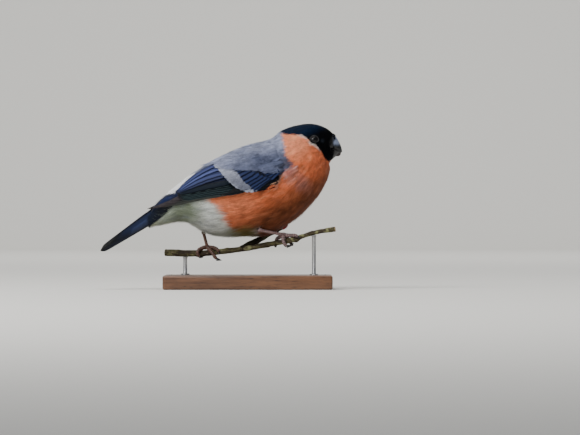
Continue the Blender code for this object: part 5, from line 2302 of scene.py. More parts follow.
@dataclass
class Eye:
    """One wet dark eye in its ring of lid skin."""

    side: Side
    centre_mm: Spot = (37.9, 85.3)
    radius: float = 3.0 * MM
    socket: float = 2.4 * MM
    socket_rim: float = 0.36 * MM
    opening: float = 2.02 * MM
    lid_thickness: float = 0.26 * MM
    bulge: float = 0.22 * MM
    pupil: Colour = (0.001, 0.001, 0.001)
    iris: Colour = field(default_factory=lambda: srgb(24, 14, 9))
    rim: Colour = field(default_factory=lambda: srgb(16, 17, 20))
    rim_edge: Colour = field(default_factory=lambda: srgb(36, 38, 43))

    def __post_init__(self) -> None:
        """Find the eye's middle, the way it looks and the middle of its opening."""
        low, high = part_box("eye_" + self.side.letter)
        self.centre = np.array((low + high) / 2.0)
        rise = math.sqrt((self.radius + 0.15 * MM + self.socket_rim) ** 2 - self.socket ** 2)
        along, upward = self.centre_mm[0] * MM - self.centre[0], self.centre_mm[1] * MM - self.centre[2]
        outward = self.side.value * math.sqrt(rise ** 2 - along ** 2 - upward ** 2)
        self.out = np.array((along, outward, upward)) / rise
        rise = math.sqrt((self.radius + 0.12 * MM + self.lid_thickness) ** 2 - self.opening ** 2)
        self.middle = self.centre + self.out * rise

    def build(self) -> list[bpy.types.Object]:
        """Build the eye and its lids.

        Returns:
            The finished pieces.
        """
        turn = Vector(self.out).to_track_quat("Z", "Y").to_euler()
        deselect_all()
        bpy.ops.mesh.primitive_uv_sphere_add(segments=64, ring_count=40, radius=self.radius,
                                             location=self.centre, rotation=turn)
        ball = bpy.context.active_object
        bpy.ops.object.transform_apply(location=True, rotation=True, scale=True)
        bpy.ops.object.shade_smooth()
        ball.name = "eyeball_" + self.side.letter
        places = vertices_of(ball)
        ways = unit(places - self.centre)
        angle = np.degrees(np.arccos(np.clip(ways @ self.out, -1.0, 1.0)))
        place_vertices(ball, places + ways * (self.bulge * (1.0 - smooth_step(angle, 0.0, 48.0)))[:, None])
        colour = blend(np.tile(self.pupil, (len(angle), 1)), np.tile(self.iris, (len(angle), 1)),
                       smooth_step(angle, 21.0, 25.0) * (1.0 - smooth_step(angle, 40.0, 55.0)))
        paint(ball, colour)
        settle(ball, EyeFinish().material(), ("eye_" + self.side.letter,))
        deselect_all()
        bpy.ops.mesh.primitive_torus_add(major_radius=self.opening, minor_radius=self.lid_thickness,
                                         major_segments=96, minor_segments=14, location=self.middle, rotation=turn)
        lid = bpy.context.active_object
        bpy.ops.object.transform_apply(location=True, rotation=True, scale=True)
        bpy.ops.object.shade_smooth()
        lid.name = "eyelids_" + self.side.letter
        offset = vertices_of(lid) - self.middle
        along = np.array((1.0, 0.0, -0.12))
        along = unit(along - self.out * (along @ self.out))
        across = np.cross(self.out, along)
        u, v, w = offset @ along, offset @ across, offset @ self.out
        turned = np.arctan2(v, u)
        beads = 1.0 + 0.018 * np.sin(26.0 * turned) + 0.03 * lumps(offset, 0.6 * MM, 5)
        corner = 1.0 + 0.14 * np.abs(np.cos(turned)) ** 10
        u, v = u * 1.03 * beads * corner, v * 0.95 * beads
        place_vertices(lid, self.middle + u[:, None] * along + v[:, None] * across + w[:, None] * self.out)
        inner = 1.0 - smooth_step(np.hypot(u, v), self.opening - 0.3 * MM, self.opening + 0.05 * MM)
        paint(lid, blend(np.tile(self.rim, (len(u), 1)), np.tile(self.rim_edge, (len(u), 1)), inner))
        settle(lid, ScaleFinish("dark lid skin", 0.45).material())
        return [ball, lid]

    def hides(self, points: Array, margin: float) -> Array:
        """Tell which places lie in the eye's opening.

        Args:
            points: Places in metres.
            margin: How far past the opening the bare ring goes.

        Returns:
            Truth values.
        """
        return np.linalg.norm(points - self.middle, axis=1) < self.opening + margin


@dataclass
class Cover:
    """Where body feathers are left out: in the eyes, behind the bill and under the wings."""

    eyes: Sequence[Eye]
    wing_mm: Sequence[Spot] = (
        (15.0, 64.0), (11.0, 60.0), (2.0, 58.0), (-8.0, 56.4), (-18.0, 54.2), (-26.0, 53.2), (-31.0, 54.5),
        (-30.0, 61.0), (-26.0, 66.0), (-20.0, 68.0), (-8.0, 66.0), (8.0, 65.0),
    )
    bill_zx_mm: Sequence[Spot] = ((72.0, 47.6), (76.0, 47.6), (80.0, 46.9), (82.0, 46.7), (84.0, 46.9), (86.5, 48.2),
                                  (88.5, 49.2), (90.0, 49.8))
    wing_inside: float = 8.0 * MM

    def roots(self, points: Array) -> Array:
        """Tell which roots are covered.

        Args:
            points: The roots.

        Returns:
            Truth values.
        """
        under = inside_outline(self.wing_mm, points[:, 0] / MM, points[:, 2] / MM)
        under &= np.abs(points[:, 1]) > self.wing_inside
        bill_z, bill_x = np.array(self.bill_zx_mm).T * MM
        bill = points[:, 0] > np.interp(points[:, 2], bill_z, bill_x)
        return under | bill | self.tips(points)

    def tips(self, points: Array) -> Array:
        """Tell which feather tips would cross an eye.

        Args:
            points: The tips.

        Returns:
            Truth values.
        """
        return np.any([eye.hides(points, 0.25 * MM) for eye in self.eyes], axis=0)


@dataclass
class TwigLine:
    """The centre line and thickness of the twig, which feet, bark and rods share."""

    line_mm: Sequence[Spot] = (
        (-47.5, 20.8), (-36.0, 20.3), (-23.9, 20.5), (-13.0, 21.6), (1.1, 23.5),
        (12.0, 25.6), (21.5, 27.2), (30.0, 29.8), (38.5, 32.4), (49.5, 34.2),
    )
    radii_mm: Sequence[float] = (2.0, 1.9, 1.7, 1.6, 1.55, 1.5, 1.45, 1.3, 1.3, 1.45)
    y_at_centre_mm: float = -1.0
    skew: float = -0.255

    def __post_init__(self) -> None:
        """Smooth the line once."""
        self.path = smooth_rows([(x, z, radius) for (x, z), radius in zip(self.line_mm, self.radii_mm)], 6)

    def centre(self, x: float) -> tuple[Array, float]:
        """Give the twig's centre and radius.

        Args:
            x: Place along X in millimetres.

        Returns:
            The centre and the radius in millimetres.
        """
        z = float(np.interp(x, self.path[:, 0], self.path[:, 1]))
        radius = float(np.interp(x, self.path[:, 0], self.path[:, 2]))
        return np.array((x, self.y_at_centre_mm + self.skew * x, z)), radius

    def about(self, x: float, degrees: float, distance: float) -> tuple[Array, Array]:
        """Give a place round the twig.

        Args:
            x: Place along X in millimetres.
            degrees: Turn from the twig's top towards the bird's right side.
            distance: Distance off the bark in millimetres.

        Returns:
            The place in millimetres and the direction away from the twig.
        """
        centre, radius = self.centre(x)
        tangent = unit(self.centre(x + 1.0)[0] - self.centre(x - 1.0)[0])
        across = np.array((0.0, 1.0, 0.0))
        across = unit(across - tangent * (across @ tangent))
        upward = np.cross(tangent, across)
        angle = math.radians(degrees)
        out = upward * math.cos(angle) - across * math.sin(angle)
        return centre + out * (radius + distance), out


@dataclass
class Leg:
    """One bare leg: a scuted shank, a knobbly heel, four padded toes and dark claws."""

    side: Side
    heel_mm: tuple[float, float, float]
    foot_mm: tuple[float, float, float]
    toes: dict[str, Sequence[tuple[float, float, float]]]
    skin: Colour
    twig: TwigLine
    shank_radius: float = 0.85 * MM
    heel_radius: float = 1.2 * MM
    foot_radius: float = 1.4 * MM
    toe_radius: float = 1.12 * MM
    claw_radius: float = 0.88 * MM
    scute: float = 1.2 * MM
    # The toes and the ball of the foot take this share of the skin's brightness: painted shade where they wrap round
    # the twig.
    painted_toe_shade: float = 0.72
    seam: Colour = field(default_factory=lambda: srgb(36, 26, 25))
    horn: Colour = field(default_factory=lambda: srgb(22, 20, 21))

    def scutes(self, length: float, share: Array, angle: Array, depth: float) -> tuple[Array, Array]:
        """Give overlapping scutes along the outer face of a tube.

        Args:
            length: The tube's length.
            share: Places along it from 0 to 1.
            angle: Places round it from 0 to 1, 0 on the outer face.
            depth: How far each scute stands out, as a share of the radius.

        Returns:
            A factor on the radius and how deep each place lies in a seam.
        """
        run = share * length / self.scute
        step = run - np.floor(run)
        front = smooth_step(np.cos(2.0 * math.pi * angle), -0.1, 0.35)
        raised = depth * (0.25 + 0.75 * step) * front
        seam = (1.0 - smooth_step(step, 0.05, 0.3) + smooth_step(step, 0.88, 1.0)) * (0.35 + 0.65 * front)
        return 1.0 + raised - 0.6 * depth * seam, np.clip(seam, 0.0, 1.0)

    def tube(self, heap: FeatherHeap, path: Array, ups: Array, radii: Array, depth: float, pads: float,
             tone: float) -> None:
        """Add one scuted tube.

        Args:
            heap: What it is added to.
            path: Its path.
            ups: The outward direction along it.
            radii: Its radius along it.
            depth: How far its scutes stand out.
            pads: How far the pads under it swell.
            tone: How bright its skin is; below 1 on the toes and foot, which is painted shade.
        """
        sides = 20
        count = len(path)
        length = float(np.linalg.norm(np.diff(path, axis=0), axis=1).sum())
        share = np.repeat(np.linspace(0.0, 1.0, count), sides)
        angle = np.tile(np.arange(sides) / sides, count)
        factor, seam = self.scutes(length, share, angle, depth)
        under = smooth_step(-np.cos(2.0 * math.pi * angle), 0.1, 0.9)
        factor = factor + pads * under * (0.5 - 0.5 * np.cos(2.0 * math.pi * share * max(2.0, length / (2.2 * MM))))
        vertices, triangles, place = sweep(path, ups, radii[:, None] * factor.reshape(count, sides), sides)
        seam = np.append(seam, [0.0, 0.0])
        blotch = lumps(vertices, 1.3 * MM, 61)
        colour = np.tile(self.skin, (len(vertices), 1)) * (tone * (0.7 + 0.6 * blotch))[:, None]
        colour = blend(colour, np.tile(self.seam, (len(vertices), 1)), 0.95 * seam)
        heap.add(vertices, triangles, colour, place)

    def toe_paths(self, steps: Sequence[tuple[float, float, float]]) -> tuple[Array, Array, Array, Array]:
        """Run one toe and its claw round the twig.

        Args:
            steps: (along, degrees, distance) rows from the foot, in millimetres.

        Returns:
            The toe's path and outward directions, then the claw's, in metres.
        """
        foot = np.array(self.foot_mm)
        away = unit(foot - self.twig.centre(foot[0])[0])
        places, ups = [foot], [away]
        for dx, degrees, extra in steps[:-1]:
            place, out = self.twig.about(foot[0] + dx, degrees, 0.3 + self.toe_radius / MM + extra)
            places.append(place)
            ups.append(out)
        half_way = [(last + end) / 2 for last, end in zip(steps[-2], steps[-1])]
        claw, claw_ups = [places[-1]], [ups[-1]]
        for (dx, degrees, extra), gap in ((half_way, 0.95), (steps[-1], 0.6)):
            place, out = self.twig.about(foot[0] + dx, degrees, gap + extra)
            claw.append(place)
            claw_ups.append(out)
        return (smooth_rows(places, 12) * MM, smooth_rows(ups, 12), smooth_rows(claw, 12) * MM,
                smooth_rows(claw_ups, 12))

    def build(self) -> list[bpy.types.Object]:
        """Build the leg.

        Returns:
            The finished shank, foot and claws.
        """
        letter = self.side.letter
        heel, foot = np.array(self.heel_mm) * MM, np.array(self.foot_mm) * MM
        down = unit(foot - heel)
        shank = FeatherHeap()
        shares = np.linspace(-0.06, 1.0, 90)
        path = heel + (foot - heel) * shares[:, None]
        swell = np.exp(-((shares + 0.0) / 0.09) ** 2) * (self.heel_radius - self.shank_radius)
        swell = swell + np.exp(-((shares - 1.0) / 0.1) ** 2) * 0.35 * MM
        front = unit(np.cross(down, (0.0, 1.0, 0.0)))
        front = front if front[0] > 0 else -front
        self.tube(shank, path, np.tile(front, (len(path), 1)), self.shank_radius + swell, 0.1, 0.05, 1.0)
        pieces = [shank.piece("shank_" + letter, "Scutes")]
        toes, claws = FeatherHeap(), FeatherHeap()
        away = unit(foot - self.twig.centre(self.foot_mm[0])[0] * MM)
        ball = foot + away * np.linspace(-0.7, 0.7, 15)[:, None] * self.foot_radius
        round_off = np.sqrt(1.0 - np.linspace(-0.97, 0.97, 15) ** 2)
        self.tube(toes, ball, np.tile((1.0, 0.0, 0.0), (15, 1)), self.foot_radius * round_off, 0.04, 0.0,
                  self.painted_toe_shade)
        for steps in self.toes.values():
            path, ups, claw_path, claw_ups = self.toe_paths(steps)
            fullness = 1.0 - 0.24 * np.linspace(0.0, 1.0, len(path))
            fullness[-4:] *= (0.97, 0.92, 0.82, 0.62)
            self.tube(toes, path, ups, self.toe_radius * fullness, 0.17, 0.26, self.painted_toe_shade)
            share = np.linspace(0.0, 1.0, len(claw_path))
            taper = self.claw_radius * (1.3 - 1.22 * share ** 1.2)
            angle = 2.0 * math.pi * np.arange(16) / 16
            narrow = 1.0 - 0.25 * np.abs(np.sin(angle))
            vertices, triangles, place = sweep(claw_path, claw_ups, taper[:, None] * narrow, 16)
            pale = np.clip(1.6 - 0.9 * place[:, 1], 0.6, 1.6)
            claws.add(vertices, triangles, np.tile(self.horn, (len(vertices), 1)) * pale[:, None], place)
        pieces.append(toes.piece("toes_" + letter, "Scutes"))
        pieces.append(claws.piece("claws_" + letter, "Scutes"))
        scaly = ScaleFinish("scuted leg skin", 0.5).material()
        settle(pieces[0], scaly, ("tarsus_" + letter,))
        settle(pieces[1], scaly, ("foot_" + letter,))
        settle(pieces[2], HornFinish("dark claw horn", 0.35).material())
        for piece in pieces:
            Bill.face_out(piece)
        return pieces


@dataclass
class Perch:
    """The cut twig with its side twig, knots and bud."""

    twig: TwigLine
    side_mm: Sequence[tuple[float, float, float]] = (
        (-4.0, -0.6, 22.9), (2.5, 3.4, 26.0), (8.0, 7.6, 29.0), (14.0, 9.4, 31.8), (19.4, 9.6, 34.4),
    )
    side_radii_mm: Sequence[float] = (1.8, 2.0, 1.5, 0.95, 0.7)
    knots_mm: Sequence[tuple[float, float, float, float]] = (
        (-40.0, 0.1, 1.6, 0.35), (-27.5, 0.55, 1.8, 0.8), (-12.0, 0.9, 1.3, 0.4), (0.5, 0.35, 1.5, 0.35),
        (11.5, 0.6, 1.1, 0.35), (27.6, 0.5, 1.7, 1.0), (36.0, 0.15, 1.2, 0.45), (44.5, 0.8, 1.5, 0.45),
    )
    bud_mm: tuple[float, float, float] = (20.8, 9.6, 35.5)
    bud_length: float = 4.4 * MM
    bud_radius: float = 0.95 * MM
    bud_rise: float = math.radians(38.0)
    scale_red: Colour = field(default_factory=lambda: srgb(150, 26, 22))
    scale_dark: Colour = field(default_factory=lambda: srgb(70, 14, 16))

    def bark(self, path: Array, radii: Array, sides: int, knots: Sequence[Sequence[float]]) -> tuple[Array, Array]:
        """Skin one rough twig.

        Args:
            path: Its centre line in metres.
            radii: Its radius along the line in metres.
            sides: How many sides it has.
            knots: (x, turn, length, height) of each knot, in millimetres, the turn from 0 to 1.

        Returns:
            Vertices and triangles.
        """
        count = len(path)
        ups = np.tile((0.0, 0.0, 1.0), (count, 1))
        smooth = sweep(path, ups, np.repeat(radii[:, None], sides, axis=1), sides)[0][:count * sides]
        coarse = lumps(smooth * (0.45, 1.0, 1.0), 1.5 * MM, 71) - 0.5
        ridges = lumps(smooth * (0.22, 1.0, 1.0), 0.55 * MM, 72) - 0.5
        fine = lumps(smooth, 0.42 * MM, 73) - 0.5
        rough = (0.34 * coarse + 0.16 * ridges + 0.1 * fine) * MM
        angle = np.tile(np.arange(sides) / sides, count)
        x = smooth[:, 0] / MM
        for centre, turn, length, height in knots:
            away = np.abs((angle - turn + 0.5) % 1.0 - 0.5)
            rough = rough + height * MM * np.exp(-((x - centre) / length) ** 2 - (away / 0.16) ** 2)
        widths = radii[:, None] * 0.97 + rough.reshape(count, sides)
        return sweep(path, ups, widths, sides)[:2]

    def build(self) -> list[bpy.types.Object]:
        """Build the perch.

        Returns:
            The finished twig, its cut ends and its bud.
        """
        xs = np.linspace(self.twig.line_mm[0][0], self.twig.line_mm[-1][0], 330)
        places = [self.twig.centre(x) for x in xs]
        path = np.array([centre for centre, _ in places]) * MM
        radii = np.array([radius for _, radius in places]) * MM
        heap = FeatherHeap()
        vertices, triangles = self.bark(path, radii, 40, self.knots_mm)
        shade = 0.7 + 0.6 * lumps(vertices * (0.3, 1.0, 1.0), 3.0 * MM, 74)
        heap.add(vertices, triangles[:-80], np.tile(shade[:, None], (1, 3)), np.zeros((len(vertices), 2)))
        ends = FeatherHeap()
        ends.add(vertices, triangles[-80:], np.zeros((len(vertices), 3)), np.zeros((len(vertices), 2)))
        side_path = smooth_rows(self.side_mm, 30) * MM
        side_radii = smooth_rows([(radius,) for radius in self.side_radii_mm], 30)[:, 0] * MM
        vertices, triangles = self.bark(side_path, side_radii, 28, ((8.0, 0.2, 0.9, 0.3), (14.5, 0.7, 0.8, 0.3)))
        # The side twig is painted at about a third of the bark's brightness: painted shade under the bird's belly.
        heap.add(vertices, triangles, np.full((len(vertices), 3), 0.34), np.zeros((len(vertices), 2)))
        twig = heap.piece("twig_bark", "Bark")
        Bill.face_out(twig)
        settle(twig, BarkFinish().material(), ("perch_twig",))
        cut = ends.piece("twig_cut_ends", "Bark")
        select_only(cut)
        bpy.ops.object.mode_set(mode="EDIT")
        bpy.ops.mesh.select_all(action="SELECT")
        bpy.ops.mesh.delete_loose()
        bpy.ops.object.mode_set(mode="OBJECT")
        settle(cut, CutWoodFinish().material())
        return [twig, cut, self.bud()]

    def bud(self) -> bpy.types.Object:
        """Build the bud from overlapping scales.

        Returns:
            The finished bud.
        """
        heap = FeatherHeap()
        along = np.array((math.cos(self.bud_rise), 0.0, math.sin(self.bud_rise)))
        across = np.array((0.0, 1.0, 0.0))
        upward = np.cross(along, across)
        centre = np.array(self.bud_mm) * MM
        for scale in range(7):
            turn = scale * 2.4
            start = -0.5 + 0.07 * scale
            reach = 0.62 + 0.03 * scale

            def place(share: Array, side: Array, face: int) -> Array:
                """Give places on one scale."""
                run = start + reach * share
                swell = np.sqrt(np.maximum(1.0 - (run * 1.75) ** 2, 0.03))
                angle = turn + side * 1.15 * (1.0 - share ** 2.5)
                radius = self.bud_radius * swell * (1.0 + 0.035 * (7 - scale)) + face * 0.05 * MM
                radius = radius + 0.1 * MM * share ** 3
                return (centre + along * (run * self.bud_length)[:, None]
                        + (across * np.cos(angle)[:, None] + upward * np.sin(angle)[:, None]) * radius[:, None])

            vertices, triangles, spot = vane_mesh(place, 14, 11)
            colour = blend(np.tile(self.scale_red, (len(spot), 1)), np.tile(self.scale_dark, (len(spot), 1)),
                           smooth_step(spot[:, 1], 0.7, 1.0) * 0.7)
            heap.add(vertices, triangles, colour, spot)
        made = heap.piece("bud_scales", "Scales")
        Bill.face_out(made)
        return settle(made, BudFinish().material(), ("perch_bud",))


@dataclass
class Stand:
    """The plain display stand: a waxed base with a fine moulding and two steel rods with collars."""

    twig: TwigLine
    size: tuple[float, float, float] = (96.0 * MM, 60.0 * MM, 8.0 * MM)
    rod_radius: float = 1.2 * MM
    rods_mm: dict[str, float] = field(default_factory=lambda: {"back": -36.0, "front": 37.5})

    def build(self) -> list[bpy.types.Object]:
        """Build the stand.

        Returns:
            The finished base and rods.
        """
        return [self.base()] + [self.rod(name, x) for name, x in self.rods_mm.items()]

    def base(self) -> bpy.types.Object:
        """Build the base with a groove near the edge of its top.

        Returns:
            The finished base.
        """
        deselect_all()
        bpy.ops.mesh.primitive_cube_add(size=1.0, location=(0.0, 0.0, self.size[2] / 2.0))
        base = bpy.context.active_object
        base.name = "base_board"
        bpy.ops.object.mode_set(mode="EDIT")
        bpy.ops.mesh.select_all(action="SELECT")
        bpy.ops.transform.resize(value=self.size, center_override=(0.0, 0.0, self.size[2] / 2.0))
        bpy.ops.mesh.select_all(action="DESELECT")
        bpy.ops.object.mode_set(mode="OBJECT")
        for face in base.data.polygons:
            face.select = face.normal.z > 0.9
        bpy.ops.object.mode_set(mode="EDIT")
        bpy.ops.mesh.select_mode(type="FACE")
        bpy.ops.mesh.inset(thickness=3.2 * MM)
        bpy.ops.mesh.inset(thickness=0.35 * MM)
        bpy.ops.transform.translate(value=(0.0, 0.0, -0.45 * MM))
        bpy.ops.mesh.inset(thickness=0.5 * MM)
        bpy.ops.mesh.inset(thickness=0.35 * MM)
        bpy.ops.transform.translate(value=(0.0, 0.0, 0.45 * MM))
        bpy.ops.object.mode_set(mode="OBJECT")
        bpy.ops.object.transform_apply(location=True, rotation=True, scale=True)
        soft = base.modifiers.new("Soft edges", "BEVEL")
        soft.width = 1.1 * MM
        soft.segments = 5
        soft.limit_method = "WEIGHT"
        weights = base.data.attributes.new("bevel_weight_edge", "FLOAT", "EDGE")
        half_x, half_y = self.size[0] / 2.0 - 1e-5, self.size[1] / 2.0 - 1e-5
        for edge in base.data.edges:
            ends = [base.data.vertices[index].co for index in edge.vertices]
            outer = all(abs(end.x) > half_x and abs(end.y) > half_y for end in ends)
            rim = all(abs(end.x) > half_x or abs(end.y) > half_y for end in ends)
            weights.data[edge.index].value = 1.0 if outer or rim else 0.12
        select_only(base)
        bpy.ops.object.modifier_apply(modifier=soft.name)
        bpy.ops.object.shade_smooth_by_angle(angle=math.radians(30.0))
        return settle(base, WalnutFinish().material(), ("stand_base",))

    def rod(self, name: str, x: float) -> bpy.types.Object:
        """Build one rod with a collar at its foot and a small saddle under the twig.

        Args:
            name: back or front.
            x: Its place along X in millimetres.

        Returns:
            The finished rod.
        """
        centre, radius = self.twig.centre(x)
        top = (centre[2] - radius) * MM
        bottom = self.size[2]
        deselect_all()
        bpy.ops.mesh.primitive_circle_add(vertices=56, radius=self.rod_radius * 2.1, fill_type="NGON",
                                          location=(x * MM, centre[1] * MM, bottom - 0.2 * MM))
        rod = bpy.context.active_object
        rod.name = "rod_" + name
        pivot = (x * MM, centre[1] * MM, bottom)
        bpy.ops.object.mode_set(mode="EDIT")
        bpy.ops.mesh.select_all(action="SELECT")

        def raise_ring(height: float, factor: float) -> None:
            """Extrude the top face by a height and scale it."""
            bpy.ops.mesh.extrude_region_move(TRANSFORM_OT_translate={"value": (0.0, 0.0, height)})
            bpy.ops.transform.resize(value=(factor, factor, 1.0), center_override=pivot)

        for height, factor in ((0.7 * MM, 1.0), (0.25 * MM, 0.93), (0.12 * MM, 0.82), (0.0, 0.62),
                               (0.5 * MM, 1.0), (0.15 * MM, 0.95)):
            raise_ring(height, factor)
        run = top - bottom - 1.52 * MM - 0.9 * MM
        for height, factor in ((run, 1.0), (0.25 * MM, 1.28), (0.5 * MM, 1.0), (0.1 * MM, 0.9)):
            raise_ring(height, factor)
        bpy.ops.mesh.inset(thickness=0.3 * MM)
        bpy.ops.transform.translate(value=(0.0, 0.0, -0.25 * MM))
        bpy.ops.mesh.select_all(action="SELECT")
        bpy.ops.mesh.normals_make_consistent(inside=False)
        bpy.ops.object.mode_set(mode="OBJECT")
        bpy.ops.object.transform_apply(location=True, rotation=True, scale=True)
        bpy.ops.object.shade_smooth_by_angle(angle=math.radians(25.0))
        return settle(rod, SteelFinish().material(), ("stand_rod_" + name,))


@dataclass
class Studio:
    """The plain pale sweep, the soft lights and the camera of the photograph."""

    view_centre_mm: Spot = (23.9, 40.8)
    view_width: float = 330.6 * MM
    distance: float = 2.6
    sensor_mm: float = 36.0

    def build(self) -> None:
        """Set up floor, lights, world and camera."""
        self.floor()
        self.light("key", (-0.75, -0.85, 0.95), 0.8, 20.0)
        self.light("top", (-0.15, 0.1, 1.3), 1.0, 11.5)
        self.light("fill", (-0.27, -1.33, 0.94), 0.4, 3.2)
        self.light("backdrop", (0.0, 1.9, 2.1), 1.6, 52.0, (0.0, 3.6, 0.3))
        world = bpy.data.worlds.new("soft room")
        bpy.context.scene.world = world
        world.use_nodes = True
        background = world.node_tree.nodes["Background"]
        background.inputs["Color"].default_value = (0.9, 0.94, 1.0, 1.0)
        background.inputs["Strength"].default_value = 0.3
        self.camera()

    def floor(self) -> None:
        """Lay a floor that curves up behind the model."""
        deselect_all()
        bpy.ops.mesh.primitive_plane_add(size=1.0, location=(0.0, 0.0, 0.0))
        sweep = bpy.context.active_object
        sweep.name = "studio_sweep"
        bpy.ops.object.mode_set(mode="EDIT")
        bpy.ops.mesh.select_all(action="SELECT")
        bpy.ops.transform.resize(value=(10.0, 8.0, 1.0))
        bpy.ops.transform.translate(value=(0.0, -0.8, 0.0))
        bpy.ops.object.mode_set(mode="OBJECT")
        far_edge = max(vertex.co.y for vertex in sweep.data.vertices)
        for vertex in sweep.data.vertices:
            vertex.select = vertex.co.y > far_edge - 1e-4
        for edge in sweep.data.edges:
            edge.select = all(sweep.data.vertices[index].select for index in edge.vertices)
        for face in sweep.data.polygons:
            face.select = False
        bpy.ops.object.mode_set(mode="EDIT")
        bpy.ops.mesh.select_mode(type="EDGE")
        for degrees in range(10, 100, 10):
            angle = math.radians(degrees - 5)
            bpy.ops.mesh.extrude_region_move(
                TRANSFORM_OT_translate={"value": (0.0, 0.1 * math.cos(angle), 0.1 * math.sin(angle))})
        bpy.ops.mesh.extrude_region_move(TRANSFORM_OT_translate={"value": (0.0, 0.0, 3.0)})
        bpy.ops.object.mode_set(mode="OBJECT")
        bpy.ops.object.shade_smooth()
        sweep.data.materials.append(PaperFinish().material())

    @staticmethod
    def light(name: str, place: tuple[float, float, float], size: float, power: float,
              target: tuple[float, float, float] = (0.0, 0.0, 0.06)) -> None:
        """Hang one soft square light.

        Args:
            name: Its name.
            place: Where it hangs.
            size: Its side.
            power: Its power in watts.
            target: What it faces.
        """
        lamp = bpy.data.lights.new(name, "AREA")
        lamp.size = size
        lamp.energy = power
        holder = bpy.data.objects.new(name, lamp)
        holder.location = place
        aim = Vector(target) - Vector(place)
        holder.rotation_euler = aim.to_track_quat("-Z", "Y").to_euler()
        bpy.context.scene.collection.objects.link(holder)

    def camera(self) -> None:
        """Place the level camera square to the bird's right side."""
        data = bpy.data.cameras.new("camera")
        data.sensor_width = self.sensor_mm
        data.lens = self.sensor_mm * self.distance / self.view_width
        data.clip_start = 0.05
        data.clip_end = 50.0
        holder = bpy.data.objects.new("camera", data)
        holder.location = (self.view_centre_mm[0] * MM, -self.distance, self.view_centre_mm[1] * MM)
        holder.rotation_euler = (math.radians(90.0), 0.0, 0.0)
        bpy.context.scene.collection.objects.link(holder)
        bpy.context.scene.camera = holder


RIGHT_TOES_MM = {
    "front": ((2.0, 8.0, 0.6), (4.5, 22.0, 0.0), (7.0, 48.0, 0.0), (8.6, 78.0, 0.0), (9.6, 112.0, 0.2)),
    "near": ((0.4, 40.0, 0.3), (0.4, 75.0, 0.0), (0.6, 105.0, 0.5), (1.4, 132.0, 1.4), (4.6, 150.0, 1.5)),
    "far": ((1.2, -40.0, 0.2), (2.0, -75.0, 0.0), (2.6, -115.0, 0.0), (3.2, -150.0, 0.1), (4.6, -172.0, 0.3)),
    "back": ((-2.0, -14.0, 0.5), (-4.2, -40.0, 0.0), (-5.4, -80.0, 0.0), (-5.8, -120.0, 0.0), (-5.2, -155.0, 0.2)),
}
LEFT_TOES_MM = {
    "front": ((1.4, 34.0, 0.1), (2.8, 68.0, 0.0), (4.2, 104.0, 0.5), (5.8, 138.0, 2.2), (8.6, 150.0, 3.6)),
    "near": ((1.6, 10.0, 0.1), (4.2, 26.0, 0.0), (6.4, 56.0, 0.0), (7.4, 88.0, 0.0), (7.6, 118.0, 0.3)),
    "far": ((1.2, -30.0, 0.1), (2.2, -70.0, 0.0), (2.8, -110.0, 0.0), (3.4, -145.0, 0.1), (4.8, -168.0, 0.3)),
    "back": ((-2.0, 22.0, 0.1), (-4.0, 52.0, 0.0), (-4.6, 88.0, 0.0), (-3.8, 124.0, 0.1), (-2.0, 150.0, 0.4)),
}


def surface_of(pieces: Sequence[bpy.types.Object]) -> BVHTree:
    """Gather objects into one surface for rays.

    Args:
        pieces: The objects, which all sit at the origin.

    Returns:
        Their surface.
    """
    vertices: list[Vector] = []
    faces: list[tuple[int, ...]] = []
    for piece in pieces:
        start = len(vertices)
        vertices += [vertex.co.copy() for vertex in piece.data.vertices]
        faces += [tuple(start + index for index in face.vertices) for face in piece.data.polygons]
    return BVHTree.FromPolygons(vertices, faces)


